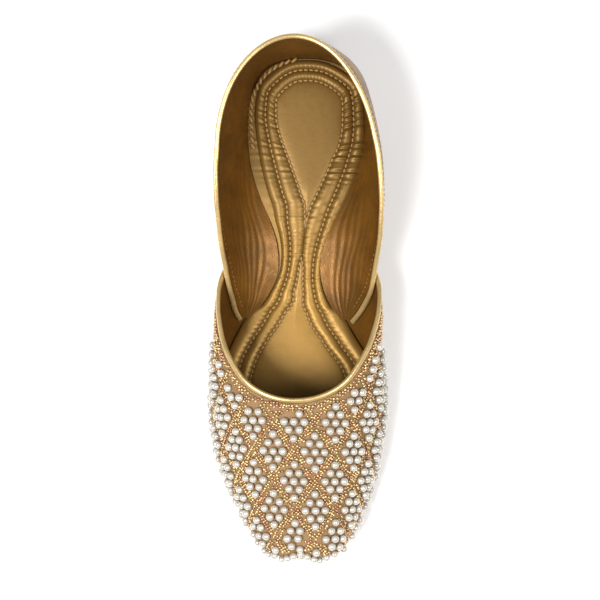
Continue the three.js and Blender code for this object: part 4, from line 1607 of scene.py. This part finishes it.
def below_edge(points):
    """Whether points of the last lie on the vamp and not above its open edge."""
    along = along_of(points[:, 0])
    return (along > THROAT) | (points[:, 2] < percent(vamp_edge(along), COLLAR_HEIGHT))


def room_from_edge(points):
    """Distance of points from the vamp's open edge, in millimetres."""
    side, top, height = open_edge(columns_of_vamp(60, 10))
    edge = on_last(side, top, height, np.full(len(top), VAMP_OUTER))
    return np.min(np.linalg.norm(points[:, None, :] - edge[None, :, :], axis=-1), axis=1)


class SHOE_OT_beads(bpy.types.Operator):
    """Sew the pearls and seed beads on the vamp"""

    bl_idname = "shoe.beads"
    bl_label = "Beads"

    # Millimetres. Pearls start and the wings' seed beads end at these places along the sole.
    PEARLS_FROM = 142.0
    WINGS_TO = 141.0
    FIRST_ROW = 9.4
    THROAT_BAND = 3.9
    SEED_GAP = 1.15
    SEED_STEP = 1.38
    SEED_ROWS = (-1.25, 0, 1.25)
    DRIFT_FROM = 28.0
    DRIFT = 0.045
    TOE_GIRTH = 34.0
    CELL = 4.0

    def execute(self, context):
        detail = sizes()
        rng = np.random.default_rng(41)
        field = BeadField()
        pearls = self.pearls(detail, rng, field)
        self.seeds(detail, rng, field, pearls)
        return {"FINISHED"}

    def pearls(self, detail, rng, field):
        """Nine pearls to a diamond, and a close row round the front of the toe. Returns their centres."""
        wide, long = detail.diamond_across, detail.diamond_along
        spots = []
        for q in range(-3, 7):
            for p in range(-7, 8):
                if (p + q) % 2:
                    continue
                for row in range(-2, 3):
                    along = self.FIRST_ROW + q * long + row * detail.pearl_along
                    for k in range(3 - abs(row)):
                        across = (k - (2 - abs(row)) / 2) * detail.pearl_across
                        spots.append((along, p * wide + across))
        spots = self.drifted(np.array(spots) + rng.normal(0, 0.12, (len(spots), 2)))
        side, s, v, good = field.surface(spots[:, 0], spots[:, 1])
        points = on_last(side, s, v, np.full(len(s), VAMP_OUTER))
        good &= below_edge(last_point(side, s, v))
        good &= room_from_edge(points) > self.THROAT_BAND + 0.9
        good &= points[:, 2] > bead_line(along_of(points[:, 0])) + 2.5
        good &= points[:, 2] > sole_top(points[:, 0]) + 2.4
        good &= points[:, 0] > self.PEARLS_FROM
        front = self.toe_front(detail)
        side, s, v = (np.concatenate([a[good], b]) for a, b in zip((side, s, v), front))
        points = on_last(side, s, v, np.full(len(s), VAMP_OUTER))
        kept = self.spaced(points, points[:0], 0.93 * detail.pearl_size, 1)
        side, s, v, points = side[kept], s[kept], v[kept], points[kept]
        normals = last_normal(side, s, v)
        radius = detail.pearl_size / 2 * rng.uniform(0.95, 1.04, len(points))[:, None]
        centres = points + normals * (radius * 0.7)
        mesh = Mesh()
        axes = bead_axes(normals, radius, radius, radius * 0.94, rng)
        mesh.copies(ball(16, 10), centres, axes, rng.uniform(0, 0.6, len(points)))
        material = pearl("pearl", colour("pearl"), colour("pearl", 0.84))
        mesh.piece("pearls", [material], slot="pearl", weld=False)
        return centres

    def drifted(self, spots):
        """The pattern leans to the lateral side towards the toe."""
        spots[:, 1] -= self.DRIFT * np.maximum(spots[:, 0] - self.DRIFT_FROM, 0)
        return spots

    def toe_front(self, detail):
        """Spots for pearls on the steep front of the toe, in rows set off by half a step."""
        spots = ([], [], [])
        for side in (MEDIAL, LATERAL):
            for row, v in enumerate(np.arange(0.3, 0.8, 0.115)):
                shares = np.linspace(0.8, 1, 400)
                line = last_point(side, shares, np.full(400, v))
                lengths = np.linalg.norm(np.diff(line, axis=0), axis=1)[::-1].cumsum()
                first = (0.5 if row % 2 else 0.02) * detail.pearl_across
                for distance in np.arange(first, self.TOE_GIRTH, detail.pearl_across):
                    s = float(np.interp(distance, lengths, shares[::-1][1:]))
                    normal = last_normal(side, np.array([s]), np.array([v]))[0]
                    if normal[0] > 0.45 and abs(normal[2]) < 0.75:
                        for values, value in zip(spots, (side, s, v)):
                            values.append(value)
        return tuple(np.array(values, float) for values in spots)

    def seeds(self, detail, rng, field, pearls):
        """Gold and copper seed beads between the diamonds, along the throat and on the wings."""
        seeds = self.drifted(np.array(self.lattice(detail, rng) + self.edging(rng)))
        side, s, v, good = field.surface(seeds[:, 0], seeds[:, 1])
        points = on_last(side, s, v, np.full(len(s), VAMP_OUTER))
        room = room_from_edge(points)
        good &= below_edge(last_point(side, s, v))
        good &= room > 0.75
        good &= points[:, 2] > bead_line(along_of(points[:, 0])) + 0.3
        good &= points[:, 2] > sole_top(points[:, 0]) + 1.3
        edging = seeds[:, 2] > 0.5
        near_edge = room < self.THROAT_BAND
        on_wing = points[:, 0] < self.WINGS_TO
        good &= np.where(edging, near_edge | on_wing, ~near_edge & ~on_wing)
        side, s, v, points = side[good], s[good], v[good], points[good]
        keep = self.spaced(points, pearls, self.SEED_GAP, detail.pearl_size / 2 + 0.4)
        side, s, v, points = side[keep], s[keep], v[keep], points[keep]
        normals = last_normal(side, s, v)
        radius = detail.seed_size / 2 * rng.uniform(0.85, 1.12, len(points))[:, None]
        centres = points + normals * radius * 0.7
        across = radius * rng.uniform(0.9, 1.25, (len(points), 1))
        axes = bead_axes(normals, across, radius, radius * 0.85, rng)
        tints = rng.uniform(0, 1, len(points))
        copper = rng.uniform(0, 1, len(points)) < 0.3
        for name, picked in (("gold", ~copper), ("copper", copper)):
            mesh = Mesh()
            mesh.copies(ball(7, 5), centres[picked], axes[picked], tints[picked])
            finish = seed_bead(name + "_bead", colour(name + "_bead"), colour(name + "_bead", 0.55))
            mesh.piece(name + "_seed_beads", [finish], slot="seed_bead", weld=False)

    def lattice(self, detail, rng):
        """Seed beads along the diamond lattice, as (along, girth, 0)."""
        wide, long = detail.diamond_across, detail.diamond_along
        span = math.hypot(wide, long)
        step = self.SEED_STEP / span
        seeds = []
        for lean in (1, -1):
            for line in range(-15, 16, 2):
                for t in np.arange(-9, 9, step):
                    p = line / 2 + t
                    q = (line - p) * lean
                    for row in self.SEED_ROWS:
                        girth = p * wide + row * long / span
                        along = self.FIRST_ROW + q * long + row * lean * wide / span
                        seeds.append((along + rng.normal(0, 0.12), girth + rng.normal(0, 0.12), 0))
        return seeds

    def edging(self, rng):
        """A close field of seed beads, for the band at the throat and the wings, as (along, girth, 1)."""
        seeds = []
        for along in np.arange(-66, 20, 1.35):
            for girth in np.arange(-62, 62, 1.5):
                seeds.append((along + rng.normal(0, 0.2), girth + rng.normal(0, 0.2), 1))
        return seeds

    def spaced(self, points, pearls, gap, pearl_gap):
        """Which points to keep so that beads clear each other and the pearls."""
        cells = {}
        pearl_cells = {}
        for centre in pearls:
            pearl_cells.setdefault(tuple((centre // self.CELL).astype(int)), []).append(centre)
        keep = []
        offsets = [(a, b, c) for a in (-1, 0, 1) for b in (-1, 0, 1) for c in (-1, 0, 1)]
        for number, point in enumerate(points):
            home = (point // gap).astype(int)
            wide_home = (point // self.CELL).astype(int)
            near = [q for o in offsets for q in cells.get(tuple(home + o), ())]
            large = [q for o in offsets for q in pearl_cells.get(tuple(wide_home + o), ())]
            if any(np.dot(q - point, q - point) < gap * gap for q in near):
                continue
            if any(np.dot(q - point, q - point) < pearl_gap * pearl_gap for q in large):
                continue
            cells.setdefault(tuple(home), []).append(point)
            keep.append(number)
        return np.array(keep, int)


class SHOE_OT_stage(bpy.types.Operator):
    """Set the floor, the lights and the camera"""

    bl_idname = "shoe.stage"
    bl_label = "Stage"

    # Metres and watts for the floor and the lights, millimetres in the last's axes for the camera.
    FLOOR_REACH = 3.0
    SKY = 0.3
    LIGHTS = (("key", (0.34, -0.5, 1.15), 0.5, 20), ("fill", (0.22, 0.62, 1.1), 0.6, 11))
    LIT_POINT = (0, 0, 0.02)
    EYE = (112.6, 43.9, 900.0)
    AIM = (121.5, 0.0, 22.0)
    # The toe points down the picture, turned a little to the left.
    ROLL = math.radians(1.75)
    FOCAL_LENGTH = 108

    def execute(self, context):
        scene = context.scene
        scene.view_settings.view_transform = "Standard"
        data = bpy.data.meshes.new("floor")
        reach = self.FLOOR_REACH
        corners = [(-reach, -reach, 0), (reach, -reach, 0), (reach, reach, 0), (-reach, reach, 0)]
        data.from_pydata(corners, [], [(0, 1, 2, 3)])
        floor = bpy.data.objects.new("floor", data)
        scene.collection.objects.link(floor)
        data.materials.append(Finish("floor_paper").done(Base_Color=colour("floor"), Roughness=0.9))
        scene.world = bpy.data.worlds.new("studio")
        scene.world.use_nodes = True
        sky = scene.world.node_tree.nodes["Background"]
        sky.inputs["Color"].default_value = (1, 1, 1, 1)
        sky.inputs["Strength"].default_value = self.SKY
        for name, place, size, power in self.LIGHTS:
            self.area(name, place, size, power)
        self.camera(scene)
        return {"FINISHED"}

    def area(self, name, place, size, power):
        """A square light aimed at the shoe."""
        lamp = bpy.data.lights.new(name, "AREA")
        lamp.size = size
        lamp.energy = power
        light = bpy.data.objects.new(name, lamp)
        bpy.context.scene.collection.objects.link(light)
        light.location = place
        light.rotation_euler = (Vector(self.LIT_POINT) - Vector(place)).to_track_quat("-Z", "Y").to_euler()

    def camera(self, scene):
        """A camera above the shoe, at the photo's angle."""
        lens = bpy.data.cameras.new("camera")
        camera = bpy.data.objects.new("camera", lens)
        scene.collection.objects.link(camera)
        eye = Vector(to_frame(self.EYE))
        forward = (Vector(to_frame(self.AIM)) - eye).normalized()
        right = forward.cross(Vector((-math.cos(self.ROLL), -math.sin(self.ROLL), 0))).normalized()
        up = right.cross(forward)
        turn = Matrix((right, up, -forward)).transposed()
        camera.matrix_world = Matrix.Translation(eye) @ turn.to_4x4()
        lens.sensor_width = 36
        lens.lens = self.FOCAL_LENGTH
        lens.clip_start = 0.01
        scene.camera = camera


OPERATORS = (
    SHOE_OT_outsole,
    SHOE_OT_heel,
    SHOE_OT_insole,
    SHOE_OT_quarter,
    SHOE_OT_vamp,
    SHOE_OT_beads,
    SHOE_OT_stage,
)


class SHOE_PT_panel(bpy.types.Panel):
    """Lists the shoe's sizes, colours and pieces"""

    bl_idname = "SHOE_PT_panel"
    bl_label = "Beaded flat shoe"
    bl_space_type = "VIEW_3D"
    bl_region_type = "UI"
    bl_category = "Shoe"

    def draw(self, context):
        for group in (context.scene.shoe_sizes, context.scene.shoe_colours):
            column = self.layout.column(align=True)
            for name in group.__annotations__:
                column.prop(group, name)
        for operator in OPERATORS:
            self.layout.operator(operator.bl_idname)


CLASSES = (ShoeSizes, ShoeColours, *OPERATORS, SHOE_PT_panel)


def register():
    for item in CLASSES:
        bpy.utils.register_class(item)
    bpy.types.Scene.shoe_sizes = bpy.props.PointerProperty(type=ShoeSizes)
    bpy.types.Scene.shoe_colours = bpy.props.PointerProperty(type=ShoeColours)


def unregister():
    del bpy.types.Scene.shoe_colours
    del bpy.types.Scene.shoe_sizes
    for item in reversed(CLASSES):
        bpy.utils.unregister_class(item)


def main():
    """Registers the shoe's classes and builds every piece and the stage."""
    register()
    for operator in OPERATORS:
        group, name = operator.bl_idname.split(".")
        getattr(getattr(bpy.ops, group), name)()


if __name__ == "__main__":
    main()
